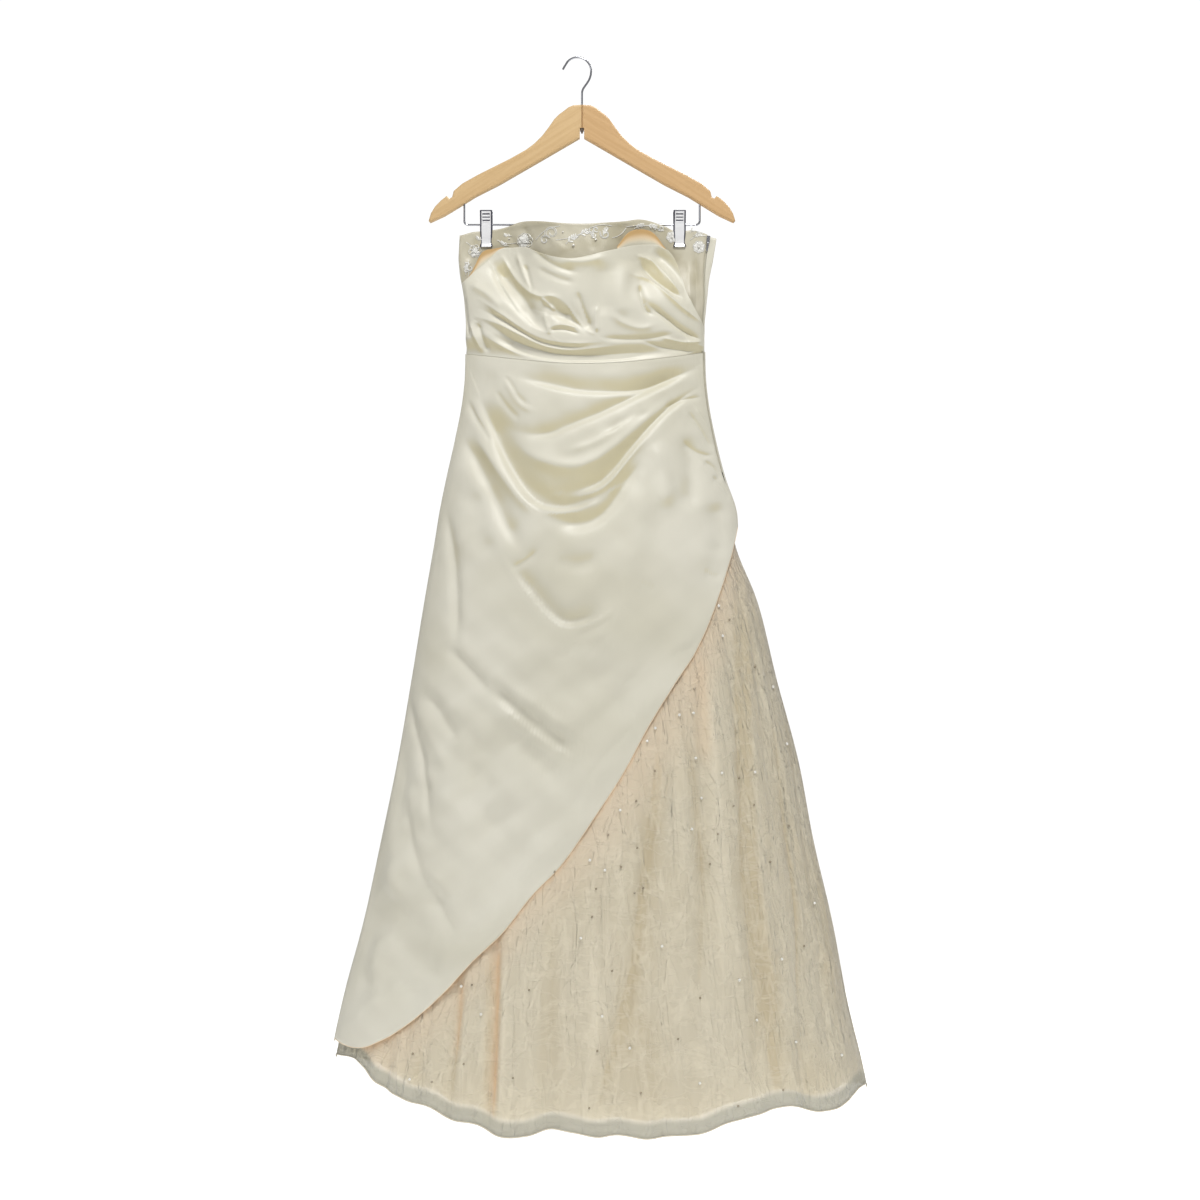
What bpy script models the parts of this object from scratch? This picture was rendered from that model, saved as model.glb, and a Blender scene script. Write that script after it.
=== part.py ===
"""Strapless satin party dress hung by two clips from a wooden hanger.

The script models the dress and its hanger at real size in metres, +Z up.
The origin is the inner top of the hanger's hook, the front faces -Y and
+X is to the right as the front is seen. Sizes below are in millimetres.
"""
import math

import bmesh
import bpy
import numpy as np
from mathutils import Matrix, Vector

MM = 0.001

# Cloth walls and the spaces between them
BODICE_WALL = 2.0
SATIN_WALL = 1.6
SHEER_WALL = 1.0
SEAM_GAP = 0.35
INNER_GAP = 0.75
FLAT_HALF = 2.4
SKIRT_FLAT = 2.4
BAR_ROOM = 1.6
TIP_SHARE = 0.06
SATIN_PROUD = 1.5

# The place from which the front's outlines and folds below are sized
VIEW_DISTANCE = 3000.0
VIEW_X = 33.0
VIEW_Z = -785.0

# Side seams, as angles round the section from the front's middle
LEFT_SEAM = math.radians(-84.0)

# How far the columns of a panel crowd towards its side seams, and its rows
# towards its top
ROW_CROWD = 1.3
FRONT_CROWD = 0.25
BACK_CROWD = 0.35

# How the overlay stands off the bodice, which steps back under it
DRAPE_RECESS = 4.4
DRAPE_CLEAR = 1.6
DRAPE_FOOT = 1.2
DRAPE_RISE = 4.0
DRAPE_LOOSE = 4.0
FACING_WALL = 1.2
FACING_CLEAR = 1.1

# How far the lining hangs inside the sheer skirt, and how much shorter it is
LINING_START = 3.0
LINING_ROOM = 11.0
LINING_SHORT = 22.0

# How far the sheer skirt hangs back from the overskirt's deepest folds
SATIN_ROOM = 13.5
BACK_ROOM = 4.0

# Zip, measured down the right side seam
SLIDER_Z = -262.5
ZIP_END = -600.0
ZIP_HALF_WIDTH = 1.3
TAPE_WALL = 1.5
HINGE_HEIGHT = 2.8
SLIDER_LENGTH = 9.0
SLIDER_WIDTH = 5.0
SLIDER_HEIGHT = 2.2
PULL_LENGTH = 12.5
PULL_WIDTH = 2.6
PULL_THICK = 0.8
KNUCKLE_RADIUS = 0.75
EAR_THICK = 0.8

# Hanger
HANGER_X = 6.5
HANGER_THICK = 12.0
HOOK_RADIUS = 19.7
WIRE_RADIUS = 1.5
BAR_Z = -241.5
BAR_HALF = 170.7
BAR_BEND = 6.0
LEG_TOP = -203.0
STEM_END = -109.0
SLOT_TOP = -101.8
SLOT_HALF = 3.1
APEX_Z = -114.7
WOOD_ROUND = 2.5
CLIP_X = (-132.2, 147.9)
CLIP_WIDTH = 18.0
CLIP_SHEET = 1.0
CLIP_PINCH = 1.0

# Rows of the dress's form: height, left and right side, depth in front and
# behind, and how pointed the section is at its sides
SECTIONS = (
    # z, left, right, front, back, point
    (-225.0, -171.0, 203.0, 40.0, 27.0, 1.90),
    (-258.0, -171.0, 202.0, 43.0, 30.0, 1.90),
    (-292.0, -172.0, 196.0, 48.0, 33.0, 1.85),
    (-321.0, -169.0, 191.0, 51.0, 36.0, 1.80),
    (-350.0, -163.0, 188.0, 51.0, 37.0, 1.75),
    (-380.0, -160.0, 185.0, 48.0, 37.0, 1.70),
    (-430.0, -161.0, 184.0, 45.0, 37.0, 1.65),
    (-466.0, -162.0, 185.0, 50.0, 41.0, 1.60),
    (-495.0, -165.0, 188.0, 56.0, 45.0, 1.60),
    (-553.0, -176.0, 199.0, 66.0, 53.0, 1.55),
    (-611.0, -189.0, 214.0, 75.0, 60.0, 1.50),
    (-655.0, -198.0, 229.0, 81.0, 66.0, 1.50),
    (-698.0, -205.0, 233.0, 87.0, 71.0, 1.45),
    (-785.0, -220.0, 266.0, 97.0, 80.0, 1.40),
    (-901.0, -239.0, 295.0, 108.0, 89.0, 1.35),
    (-1017.0, -259.0, 326.0, 117.0, 96.0, 1.30),
    (-1133.0, -283.0, 348.0, 125.0, 102.0, 1.30),
    (-1249.0, -308.0, 375.0, 133.0, 108.0, 1.25),
    (-1365.0, -339.0, 397.0, 140.0, 114.0, 1.25),
    (-1480.0, -362.0, 424.0, 147.0, 119.0, 1.20),
    (-1570.0, -374.0, 438.0, 152.0, 123.0, 1.20),
)

# Right side seam: height and its angle round the section
RIGHT_SEAM = (
    # z, degrees
    (-225.0, 69.0),
    (-300.0, 70.5),
    (-350.0, 77.0),
    (-437.0, 80.0),
    (-520.0, 80.0),
    (-610.0, 80.0),
    (-680.0, 84.0),
    (-1000.0, 84.0),
    (-1600.0, 84.0),
)

# Edges as seen from the front: x and z
BODICE_TOP = (
    # x, z
    (-180.0, -258.0),
    (-171.0, -257.0),
    (-153.0, -252.0),
    (-132.0, -250.0),
    (-105.0, -245.5),
    (-83.0, -237.5),
    (-54.0, -236.0),
    (-25.0, -238.5),
    (8.0, -239.5),
    (40.0, -238.0),
    (69.0, -236.0),
    (91.0, -233.5),
    (105.0, -236.0),
    (118.0, -240.5),
    (128.0, -244.0),
    (138.0, -249.5),
    (158.0, -250.0),
    (166.0, -249.0),
    (182.0, -253.0),
    (202.0, -262.0),
)
DRAPE_TOP = (
    (-180.0, -334.0),
    (-164.0, -326.0),
    (-149.0, -313.0),
    (-132.0, -299.0),
    (-115.0, -280.0),
    (-90.0, -276.0),
    (-70.0, -275.5),
    (-49.0, -284.0),
    (-12.0, -292.5),
    (16.0, -288.5),
    (42.0, -281.0),
    (69.0, -274.0),
    (96.0, -271.5),
    (122.0, -275.0),
    (139.0, -290.0),
    (150.0, -318.0),
    (160.0, -350.0),
    (172.0, -376.0),
    (184.0, -396.0),
    (200.0, -404.0),
)
FACING_LEFT_TOP = (
    (-180.0, -330.0),
    (-164.0, -325.0),
    (-154.0, -313.0),
    (-147.0, -299.0),
    (-141.0, -286.0),
    (-133.0, -279.0),
    (-124.0, -277.5),
    (-112.0, -275.0),
    (-98.0, -276.0),
    (-90.0, -277.0),
)
FACING_RIGHT_TOP = (
    (50.0, -278.0),
    (56.0, -272.0),
    (69.0, -255.0),
    (85.0, -248.5),
    (101.0, -250.0),
    (117.0, -262.0),
    (125.0, -273.0),
    (132.0, -281.0),
)
WAIST = (
    (-190.0, -428.0),
    (-159.0, -429.5),
    (-92.0, -436.0),
    (-25.0, -442.0),
    (60.0, -441.0),
    (130.0, -434.0),
    (190.0, -426.0),
)
SATIN_HEM = (
    (-372.0, -1395.0),
    (-353.0, -1420.0),
    (-340.0, -1428.0),
    (-326.0, -1433.0),
    (-307.0, -1433.0),
    (-285.0, -1424.0),
    (-244.0, -1398.0),
    (-196.0, -1357.0),
    (-152.0, -1309.0),
    (-107.0, -1265.0),
    (-66.0, -1213.0),
    (-26.0, -1172.0),
    (26.0, -1098.0),
    (71.0, -1028.0),
    (99.0, -975.0),
    (142.0, -904.0),
    (175.0, -853.0),
    (207.0, -773.0),
    (218.0, -738.0),
    (230.0, -690.0),
    (236.0, -660.0),
)
ORGANZA_HEM = (
    (-372.0, -1436.0),
    (-348.0, -1444.0),
    (-320.0, -1452.0),
    (-295.0, -1484.0),
    (-271.0, -1499.0),
    (-249.0, -1512.0),
    (-214.0, -1521.0),
    (-190.0, -1537.0),
    (-144.0, -1547.0),
    (-121.0, -1561.0),
    (-75.0, -1563.0),
    (-40.0, -1553.0),
    (-5.0, -1558.0),
    (30.0, -1565.0),
    (53.0, -1561.0),
    (99.0, -1567.0),
    (134.0, -1563.0),
    (181.0, -1559.0),
    (215.0, -1545.0),
    (262.0, -1532.0),
    (308.0, -1519.0),
    (354.0, -1527.0),
    (385.0, -1518.0),
    (412.0, -1490.0),
    (432.0, -1482.0),
)

# Heights of the hidden back edges: x and z
BODICE_TOP_BACK = (
    (-175.0, -257.0),
    (-132.0, -254.0),
    (0.0, -258.0),
    (148.0, -253.0),
    (190.0, -259.0),
    (204.0, -262.5),
)
ORGANZA_HEM_BACK = (
    (-372.0, -1436.0),
    (-348.0, -1444.0),
    (-325.0, -1455.0),
    (-260.0, -1478.0),
    (-200.0, -1490.0),
    (-140.0, -1504.0),
    (-70.0, -1510.0),
    (0.0, -1508.0),
    (70.0, -1514.0),
    (140.0, -1508.0),
    (210.0, -1500.0),
    (280.0, -1494.0),
    (350.0, -1494.0),
    (400.0, -1492.0),
    (430.0, -1484.0),
)

# Folds seen from the front. Each has the widths of its two flanks, its depth
# (positive stands out) and its run as x, z stations
SATIN_FOLDS = (
    # left flank, right flank, depth, run
    (11, 11, 5.0, ((-70, -474), (-4, -482), (50, -482), (112, -471), (172, -449))),
    (9, 12, -6.0, ((-84, -462), (28, -463), (120, -461), (178, -446))),
    (7, 15, -7.0, ((-50, -545), (22, -510), (95, -484), (172, -450))),
    (7, 15, -7.0, ((36, -571), (78, -549), (120, -516), (180, -470))),
    (8, 8, -3.0, ((134, -497), (178, -491))),
    (18, 14, -12.0, ((-122, -506), (-90, -566), (-62, -615), (-36, -648),
                     (4, -650), (34, -632), (64, -584), (92, -553))),
    (9, 9, 6.0, ((-112, -560), (-84, -612), (-58, -655), (-18, -661),
                 (25, -640), (52, -606), (84, -566))),
    (12, 9, -6.0, ((-38, -672), (4, -677), (42, -658))),
    (12, 12, -7.0, ((-158, -549), (-128, -604), (-102, -643), (-76, -706))),
    (9, 9, 5.0, ((-140, -553), (-104, -618), (-72, -669))),
    (10, 16, -9.0, ((-94, -738), (-50, -792), (-18, -817), (36, -808))),
    (9, 9, 4.0, ((-98, -752), (-56, -802), (-14, -830), (38, -818))),
    (9, 10, -7.0, ((-185, -857), (-131, -916), (-81, -954), (-37, -989), (0, -1008))),
    (9, 9, 4.0, ((-150, -912), (-96, -962), (-44, -1002))),
    (12, 12, -6.0, ((-223, -924), (-182, -999))),
    (14, 14, -4.0, ((-195, -658), (-176, -728), (-176, -816))),
    (20, 20, -6.0, ((-263, -1092), (-225, -1177), (-174, -1269))),
    (8, 8, -4.0, ((162, -510), (198, -571))),
    (8, 8, -4.0, ((184, -583), (218, -630))),
)
DRAPE_FOLDS = (
    (9, 9, -7.0, ((-133, -379), (-92, -413), (-38, -432), (28, -438), (95, -433), (170, -424))),
    (8, 8, 5.0, ((-112, -378), (-69, -405), (-25, -416), (28, -424), (90, -420), (163, -418))),
    (8, 10, 5.0, ((-127, -298), (-98, -342), (-66, -379), (-38, -398))),
    (10, 10, -6.0, ((-70, -290), (-64, -322), (-59, -346))),
    (8, 8, -5.0, ((-28, -346), (0, -379), (28, -402))),
    (7, 7, -4.0, ((0, -342), (18, -372), (25, -400))),
    (10, 9, -7.0, ((85, -289), (112, -321), (148, -352))),
    (7, 7, 4.0, ((98, -285), (127, -321), (152, -347))),
    (8, 8, -7.0, ((85, -336), (104, -362), (148, -395), (174, -408))),
    (8, 8, 5.0, ((72, -317), (136, -357), (174, -384))),
    (6, 6, -4.0, ((28, -402), (95, -414), (165, -426))),
)
ORGANZA_FOLDS = (
    (12, 12, -10.0, ((-118, -1240), (-122, -1435), (-129, -1570))),
    (12, 12, -9.0, ((-172, -1300), (-188, -1500), (-190, -1570))),
    (13, 13, -10.0, ((109, -1046), (103, -1152), (83, -1328), (38, -1468), (22, -1570))),
    (11, 11, -8.0, ((180, -900), (182, -1180), (178, -1400), (160, -1580))),
    (11, 11, -8.0, ((226, -860), (249, -1100), (262, -1300), (262, -1560))),
    (12, 12, -9.0, ((234, -1138), (270, -1363), (288, -1560))),
    (12, 12, -9.0, ((325, -1271), (330, -1429), (335, -1560))),
    (14, 14, -8.0, ((-47, -1300), (-43, -1570))),
    (14, 14, -7.0, ((-236, -1420), (-244, -1560))),
    (14, 14, -7.0, ((-282, -1440), (-292, -1560))),
    (13, 13, -7.0, ((255, -900), (310, -1150), (370, -1540))),
    (12, 12, -6.0, ((60, -1280), (88, -1580))),
    (12, 12, -6.0, ((120, -1280), (128, -1580))),
)
# Folds behind: their place at the hem as a share of the width, flank and depth
BACK_FOLDS = (
    # share, flank, depth
    (-0.86, 17.0, -8.0),
    (-0.66, 19.0, -9.0),
    (-0.45, 16.0, -7.0),
    (-0.27, 20.0, -10.0),
    (-0.06, 17.0, -8.0),
    (0.14, 20.0, -9.0),
    (0.33, 16.0, -7.0),
    (0.52, 20.0, -10.0),
    (0.71, 17.0, -8.0),
    (0.88, 15.0, -7.0),
)

# Finishes: base colour, roughness, metallic
FINISHES = {
    "satin": ((0.80, 0.76, 0.63), 0.35, 0.0),
    "satin_underside": ((0.80, 0.62, 0.42), 0.55, 0.0),
    "organza": ((0.80, 0.73, 0.60), 0.50, 0.0),
    "lining": ((0.83, 0.72, 0.56), 0.60, 0.0),
    "zip_cloth": ((0.62, 0.56, 0.42), 0.70, 0.0),
    "metal": ((0.80, 0.80, 0.80), 0.18, 1.0),
    "wood": ((0.60, 0.42, 0.22), 0.45, 0.0),
}


# Start from an empty scene
for old in list(bpy.data.objects):
    bpy.data.objects.remove(old, do_unlink=True)

dress_collection = bpy.data.collections.new("party_dress_on_hanger")
bpy.context.scene.collection.children.link(dress_collection)
cutter_collection = bpy.data.collections.new("cutters")
bpy.context.scene.collection.children.link(cutter_collection)


def finish(name):
    """Return the named finish as a Principled material, made once."""
    material = bpy.data.materials.get(name)
    if material:
        return material
    colour, roughness, metallic = FINISHES[name]
    material = bpy.data.materials.new(name)
    material.use_nodes = True
    shader = material.node_tree.nodes["Principled BSDF"]
    shader.inputs["Base Color"].default_value = (*colour, 1.0)
    shader.inputs["Roughness"].default_value = roughness
    shader.inputs["Metallic"].default_value = metallic
    return material


def keep(piece, name, finish_name, smooth_angle=None):
    """Name a piece, give it its finish and file it with the dress."""
    piece.name = name
    piece.data.name = name
    piece.data.materials.clear()
    piece.data.materials.append(finish(finish_name))
    for holder in list(piece.users_collection):
        holder.objects.unlink(piece)
    dress_collection.objects.link(piece)
    if smooth_angle is not None:
        piece.data.shade_smooth()
        piece.data.set_sharp_from_angle(angle=math.radians(smooth_angle))
    return piece


def as_cutter(piece, name):
    """Hide a piece that only cuts others."""
    piece.name = name
    piece.hide_render = True
    piece.display_type = 'WIRE'
    for holder in list(piece.users_collection):
        holder.objects.unlink(piece)
    cutter_collection.objects.link(piece)
    return piece


def cut(piece, cutter):
    """Cut one closed shape out of a piece."""
    modifier = piece.modifiers.new("cut_" + cutter.name, 'BOOLEAN')
    modifier.operation = 'DIFFERENCE'
    modifier.solver = 'EXACT'
    modifier.object = cutter


def ease(value, start, end):
    """Rise softly from 0 at start to 1 at end."""
    share = np.clip((np.asarray(value, float) - start) / (end - start), 0.0, 1.0)
    return share * share * (3.0 - 2.0 * share)


def smooth_column(rows, column, at):
    """Read one column of a table as a smooth curve over its first column."""
    keys = np.array([row[0] for row in rows], float)
    values = np.array([row[column] for row in rows], float)
    if keys[0] > keys[-1]:
        keys = keys[::-1]
        values = values[::-1]
    slopes = np.gradient(values, keys)
    at = np.clip(np.asarray(at, float), keys[0], keys[-1])
    index = np.clip(np.searchsorted(keys, at) - 1, 0, len(keys) - 2)
    width = keys[index + 1] - keys[index]
    s = (at - keys[index]) / width
    return ((1 + 2 * s) * (1 - s) ** 2 * values[index]
            + s * (1 - s) ** 2 * width * slopes[index]
            + s * s * (3 - 2 * s) * values[index + 1]
            + s * s * (s - 1) * width * slopes[index + 1])


def clip_pinch(x, z):
    """Share by which the clips press front and back together."""
    across = ease(np.abs(x - HANGER_X), 26.0, 113.0)
    outboard = 1.0 - 0.22 * ease(np.abs(x - HANGER_X), 156.0, 180.0)
    down = 1.0 - ease(-z, 286.0, 372.0)
    return CLIP_PINCH * across * outboard * down


def flat_half(z):
    """Half the thickness of the flattened sides, thicker where more layers meet."""
    below_waist = FLAT_HALF + SKIRT_FLAT * ease(-z, 330.0, 422.0)
    return below_waist + BAR_ROOM * ease(z, -250.0, -245.0)


def section(turn, z, skin=(0.0, 0.0)):
    """Point of the dress's form at an angle round it and a height.

    The skin says how far a layer lies inside the form, across and in depth.
    """
    left = smooth_column(SECTIONS, 1, z)
    right = smooth_column(SECTIONS, 2, z)
    point = smooth_column(SECTIONS, 5, z)
    cosine = np.cos(turn)
    depth = np.where(cosine > 0.0, smooth_column(SECTIONS, 3, z), smooth_column(SECTIONS, 4, z))
    x = (left + right) / 2 + ((right - left) / 2 - skin[0]) * np.sin(turn)
    bulge = depth * np.abs(cosine) ** point * (1.0 - clip_pinch(x, z))
    flat = (flat_half(z) - skin[1]) * np.minimum(1.0, np.abs(cosine) / TIP_SHARE)
    y = -np.sign(cosine) * (bulge + flat)
    return np.stack([x, y, np.asarray(z, float) + 0.0 * x], axis=-1)


def outward(turn, z, skin=(0.0, 0.0)):
    """Outward direction of the form, from two small steps along it."""
    step_turn = 0.012
    step_z = 3.0
    along = section(turn + step_turn, z, skin) - section(turn - step_turn, z, skin)
    up = section(turn, z + step_z, skin) - section(turn, z - step_z, skin)
    normal = np.cross(along, up)
    return normal / np.linalg.norm(normal, axis=-1, keepdims=True)


def seen(point):
    """Where a point shows from the front, on the plane of the side seams."""
    scale = VIEW_DISTANCE / (VIEW_DISTANCE + point[..., 1])
    return VIEW_X + (point[..., 0] - VIEW_X) * scale, VIEW_Z + (point[..., 2] - VIEW_Z) * scale


def unseen(point):
    """The same for the hidden back, straight on."""
    return point[..., 0], point[..., 2]


def edge_height(turn_at, edge, view, skin, low=-1620.0, high=-200.0):
    """Height at which each column of a panel meets an edge of the table."""
    low = np.full(turn_at(high).shape, low)
    high = np.full(low.shape, high)
    for _ in range(40):
        middle = (low + high) / 2
        x, z = view(section(turn_at(middle), middle, skin(middle)))
        above = z > smooth_column(edge, 1, x)
        high = np.where(above, middle, high)
        low = np.where(above, low, middle)
    return (low + high) / 2


def fold_relief(x, z, folds):
    """Height of all folds of a table at points seen at x, z."""
    relief = np.zeros(np.shape(x))
    for left_flank, right_flank, depth, run in folds:
        nearest = np.full(relief.shape, 1e9)
        side = np.zeros(relief.shape)
        share = np.zeros(relief.shape)
        stations = np.array(run, float)
        lengths = np.linalg.norm(np.diff(stations, axis=0), axis=1)
        whole = lengths.sum()
        before = 0.0
        for start, end, length in zip(stations[:-1], stations[1:], lengths):
            way = (end - start) / length
            along = np.clip((x - start[0]) * way[0] + (z - start[1]) * way[1], 0.0, length)
            dx = x - start[0] - along * way[0]
            dz = z - start[1] - along * way[1]
            distance = np.hypot(dx, dz)
            closer = distance < nearest
            nearest = np.where(closer, distance, nearest)
            side = np.where(closer, way[0] * dz - way[1] * dx, side)
            share = np.where(closer, (before + along) / whole, share)
            before += length
        flank = np.where(side > 0.0, left_flank, right_flank)
        ends = 0.35 + 0.65 * ease(share, 0.0, 0.2) * ease(1.0 - share, 0.0, 0.2)
        relief += depth * ends * np.exp(-(nearest / flank) ** 2)
    return relief


def back_relief(x, z):
    """Folds behind: they run up from the hem and fade towards the waist."""
    left = smooth_column(SECTIONS, 1, z)
    right = smooth_column(SECTIONS, 2, z)
    share = (2 * x - left - right) / (right - left)
    half = (right - left) / 2
    relief = np.zeros(np.shape(x))
    for place, flank, depth in BACK_FOLDS:
        relief += depth * np.exp(-((share - place) * half / flank) ** 2)
    return relief * ease(-z, 480.0, 1350.0)


def cloth(name, columns, rows, turn_at, top, bottom, move, skin, wall, finish_name,
          row_crowd=1.0):
    """Make one cloth panel: a grid given its wall, both faces laid on the form."""
    bpy.ops.mesh.primitive_grid_add(x_subdivisions=columns, y_subdivisions=rows, size=2.0)
    panel = bpy.context.object
    count = len(panel.data.vertices)
    flat = np.empty(count * 3)
    panel.data.vertices.foreach_get("co", flat)
    flat = flat.reshape(count, 3)
    across = (flat[:, 0] + 1.0) / 2
    up = 1.0 - (1.0 - (flat[:, 1] + 1.0) / 2) ** row_crowd
    z = bottom(across, skin) + (top(across, skin) - bottom(across, skin)) * up
    turn = turn_at(across, z)
    dx, dy = skin(z)
    base = section(turn, z, (dx, dy))
    lift = outward(turn, z) * move(base, across, up, turn)[:, None]
    outer = base + lift
    inner = section(turn, z, (dx + wall, dy + wall)) + lift
    solid_wall = panel.modifiers.new("wall", 'SOLIDIFY')
    solid_wall.thickness = wall * MM
    solid_wall.offset = -1.0
    bpy.ops.object.modifier_apply(modifier=solid_wall.name)
    panel.data.vertices.foreach_set("co", (np.concatenate([outer, inner]) * MM).ravel())
    panel.data.update()
    keep(panel, name, finish_name, 60.0)
    return panel


def right_seam(z):
    """Angle of the right side seam at a height."""
    return np.radians(smooth_column(RIGHT_SEAM, 1, z))


def seam_step(turn, z):
    """Angle that spans one millimetre of cloth at a seam."""
    small = 0.004
    span = section(turn + small, z) - section(turn - small, z)
    return 2 * small / np.linalg.norm(span, axis=-1)


def crowd(across, share):
    """Crowd a panel's columns towards its two side edges."""
    return across - share * np.sin(2 * math.pi * across) / (2 * math.pi)


def inner_seam(z):
    """Angle of the right side seam of the layers under the overskirt."""
    return -LEFT_SEAM + 0.0 * z


def front_turn(left_gap, right_gap, seam):
    """Spread a front panel's columns between its side seams."""
    def turn_at(across, z):
        start = LEFT_SEAM + left_gap * seam_step(LEFT_SEAM + 0.02, z)
        end = seam(z) - right_gap(z) * seam_step(seam(z), z)
        return start + (end - start) * crowd(across, FRONT_CROWD)
    return turn_at


def back_turn(left_gap, right_gap, seam):
    """Spread a back panel's columns from the right seam round to the left."""
    def turn_at(across, z):
        start = seam(z) + right_gap(z) * seam_step(seam(z), z)
        end = LEFT_SEAM - left_gap * seam_step(LEFT_SEAM - 0.02, z) + 2 * math.pi
        return start + (end - start) * crowd(across, BACK_CROWD)
    return turn_at


def edge_line(turn_at, edge, view, shift=0.0):
    """Height of a panel's edge for each share across it."""
    def height(across, skin):
        return edge_height(lambda z: turn_at(across, z), edge, view, skin) + shift
    return height


# Where each layer lies: how far inside the form, across and in depth
def form_skin(z):
    """The bodice lies on the form itself."""
    return 0.0 * z, 0.0 * z


def satin_skin(z):
    """The overskirt stands proud of the form, flush with the overlay's foot."""
    return 0.0 * z - SATIN_PROUD, 0.0 * z - SATIN_PROUD


def organza_skin(z):
    """The sheer skirt hangs inside the overskirt."""
    return 2.4 + 3.6 * ease(-z, 428.0, 560.0), 0.0 * z + 1.4


def lining_skin(z):
    """The lining hangs inside the sheer skirt."""
    return 6.5 + 5.5 * ease(-z, 428.0, 560.0), 0.0 * z + 3.4


def tape_skin(z):
    """The zip's tape is flush with the bodice, then with the overskirt."""
    proud = SATIN_PROUD * ease(-z, 422.0, 440.0)
    return -proud, -proud


# The seams. The zip's tape fills the upper part of the right one
def plain_gap(z):
    """Half the gap of a seam with nothing in it."""
    return SEAM_GAP / 2 + 0.0 * np.asarray(z, float)


def zip_gap(z):
    """Half the gap of the right seam, open for the zip's tape down to its end."""
    return SEAM_GAP / 2 + (ZIP_HALF_WIDTH + SEAM_GAP / 2) * ease(z, ZIP_END - 22.0, ZIP_END - 2.0)


def drape_gap(z):
    """The overlay stops just short of the zip."""
    return zip_gap(z) + 1.0


def side_share(turn, z, reach=0.23):
    """0 at the side seams, 1 from the reach (in radians) inwards, front and back."""
    in_front = ease(turn - LEFT_SEAM, 0.0, reach) * ease(right_seam(z) - turn, 0.0, reach)
    behind = ease(turn - math.pi / 2, 0.0, reach) * ease(1.5 * math.pi - turn, 0.0, reach)
    return in_front + behind


# The bodice
def bodice_move(base, across, up, turn):
    """The bodice steps back under the overlay."""
    x, z = seen(base)
    inset = DRAPE_RECESS * (0.3 + 0.7 * side_share(turn, base[:, 2], 0.3))
    return -inset * ease(smooth_column(DRAPE_TOP, 1, x) - z, 4.0, 16.0)


def flush_move(base, across, up, turn):
    """The panel lies on the form itself."""
    return np.zeros(len(across))


def drape_move(base, across, up, turn):
    """The overlay is loose at its top edge, sewn at its foot, and folded."""
    x, z = seen(base)
    side = side_share(turn, base[:, 2])
    lift = DRAPE_FOOT + ease(up, 0.0, 0.25) * (DRAPE_RISE + DRAPE_LOOSE * side)
    folded = lift + fold_relief(x, z, DRAPE_FOLDS) * side * ease(up, 0.0, 0.12)
    below = -DRAPE_RECESS * ease(smooth_column(DRAPE_TOP, 1, x) - z, 4.0, 16.0)
    return np.maximum(folded, below + SATIN_WALL + DRAPE_CLEAR)


def facing_move(top_lift):
    """The turned-in edge runs from inside the overlay to near the bodice."""
    def move(base, across, up, turn):
        side = side_share(turn, base[:, 2])
        lift = DRAPE_FOOT + DRAPE_RISE + DRAPE_LOOSE * side - SATIN_WALL - FACING_CLEAR
        return lift + (np.minimum(top_lift, lift) - lift) * ease(up, 0.15, 1.0)
    return move


def facing_turn(start, end):
    """Spread a facing's columns between two angles."""
    def turn_at(across, z):
        return np.radians(start) + np.radians(end - start) * across + 0.0 * z
    return turn_at


def make_bodice():
    """Front and back panels, the overlay and its turned-in edges."""
    front = front_turn(SEAM_GAP / 2, zip_gap, right_seam)
    back = back_turn(SEAM_GAP / 2, zip_gap, right_seam)
    cloth("bodice_front", 28, 6, front,
          edge_line(front, BODICE_TOP, seen), edge_line(front, WAIST, seen, SEAM_GAP),
          bodice_move, form_skin, BODICE_WALL, "satin")
    cloth("bodice_back", 28, 6, back,
          edge_line(back, BODICE_TOP_BACK, unseen), edge_line(back, WAIST, unseen, SEAM_GAP),
          flush_move, form_skin, BODICE_WALL, "satin")
    overlay = front_turn(1.5, drape_gap, right_seam)
    cloth("bodice_drape", 36, 10, overlay,
          edge_line(overlay, DRAPE_TOP, seen), edge_line(overlay, WAIST, seen, SEAM_GAP),
          drape_move, form_skin, SATIN_WALL, "satin")
    left = facing_turn(-77.0, -35.0)
    cloth("drape_facing_left", 14, 3, left,
          edge_line(left, FACING_LEFT_TOP, seen), edge_line(left, DRAPE_TOP, seen, -4.0),
          facing_move(5.0), form_skin, FACING_WALL, "satin_underside")
    right = facing_turn(13.0, 38.0)
    cloth("drape_facing_right", 11, 2, right,
          edge_line(right, FACING_RIGHT_TOP, seen), edge_line(right, DRAPE_TOP, seen, -4.0),
          facing_move(5.0), form_skin, FACING_WALL, "satin_underside")


# The skirts
def under_satin(x, z):
    """1 where the satin overskirt covers a point of the front, 0 past its hem."""
    return ease(z - smooth_column(SATIN_HEM, 1, x), 40.0, 170.0)


def satin_move(base, across, up, turn):
    """Pleats run from the right side seam, and none at the waist seam itself."""
    x, z = seen(base)
    room = ease(smooth_column(WAIST, 1, x) - z, 0.0, 30.0)
    room = room * side_share(turn, base[:, 2], 0.42)
    return np.clip(fold_relief(x, z, SATIN_FOLDS), -11.0, 9.0) * room


def satin_back_move(base, across, up, turn):
    """The overskirt behind: shallow vertical folds."""
    x, z = unseen(base)
    return 0.35 * back_relief(x, z) * side_share(turn, base[:, 2], 0.5)


def organza_move(base, across, up, turn):
    """The sheer skirt keeps clear of the overskirt's folds, and has its own."""
    x, z = seen(base)
    clear = SATIN_ROOM * under_satin(x, z) * ease(-z, 426.0, 455.0)
    folds = fold_relief(x, z, ORGANZA_FOLDS) * (1.0 - 0.6 * under_satin(x, z))
    return (np.maximum(folds, -LINING_ROOM) - clear) * side_share(turn, base[:, 2], 0.5)


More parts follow.
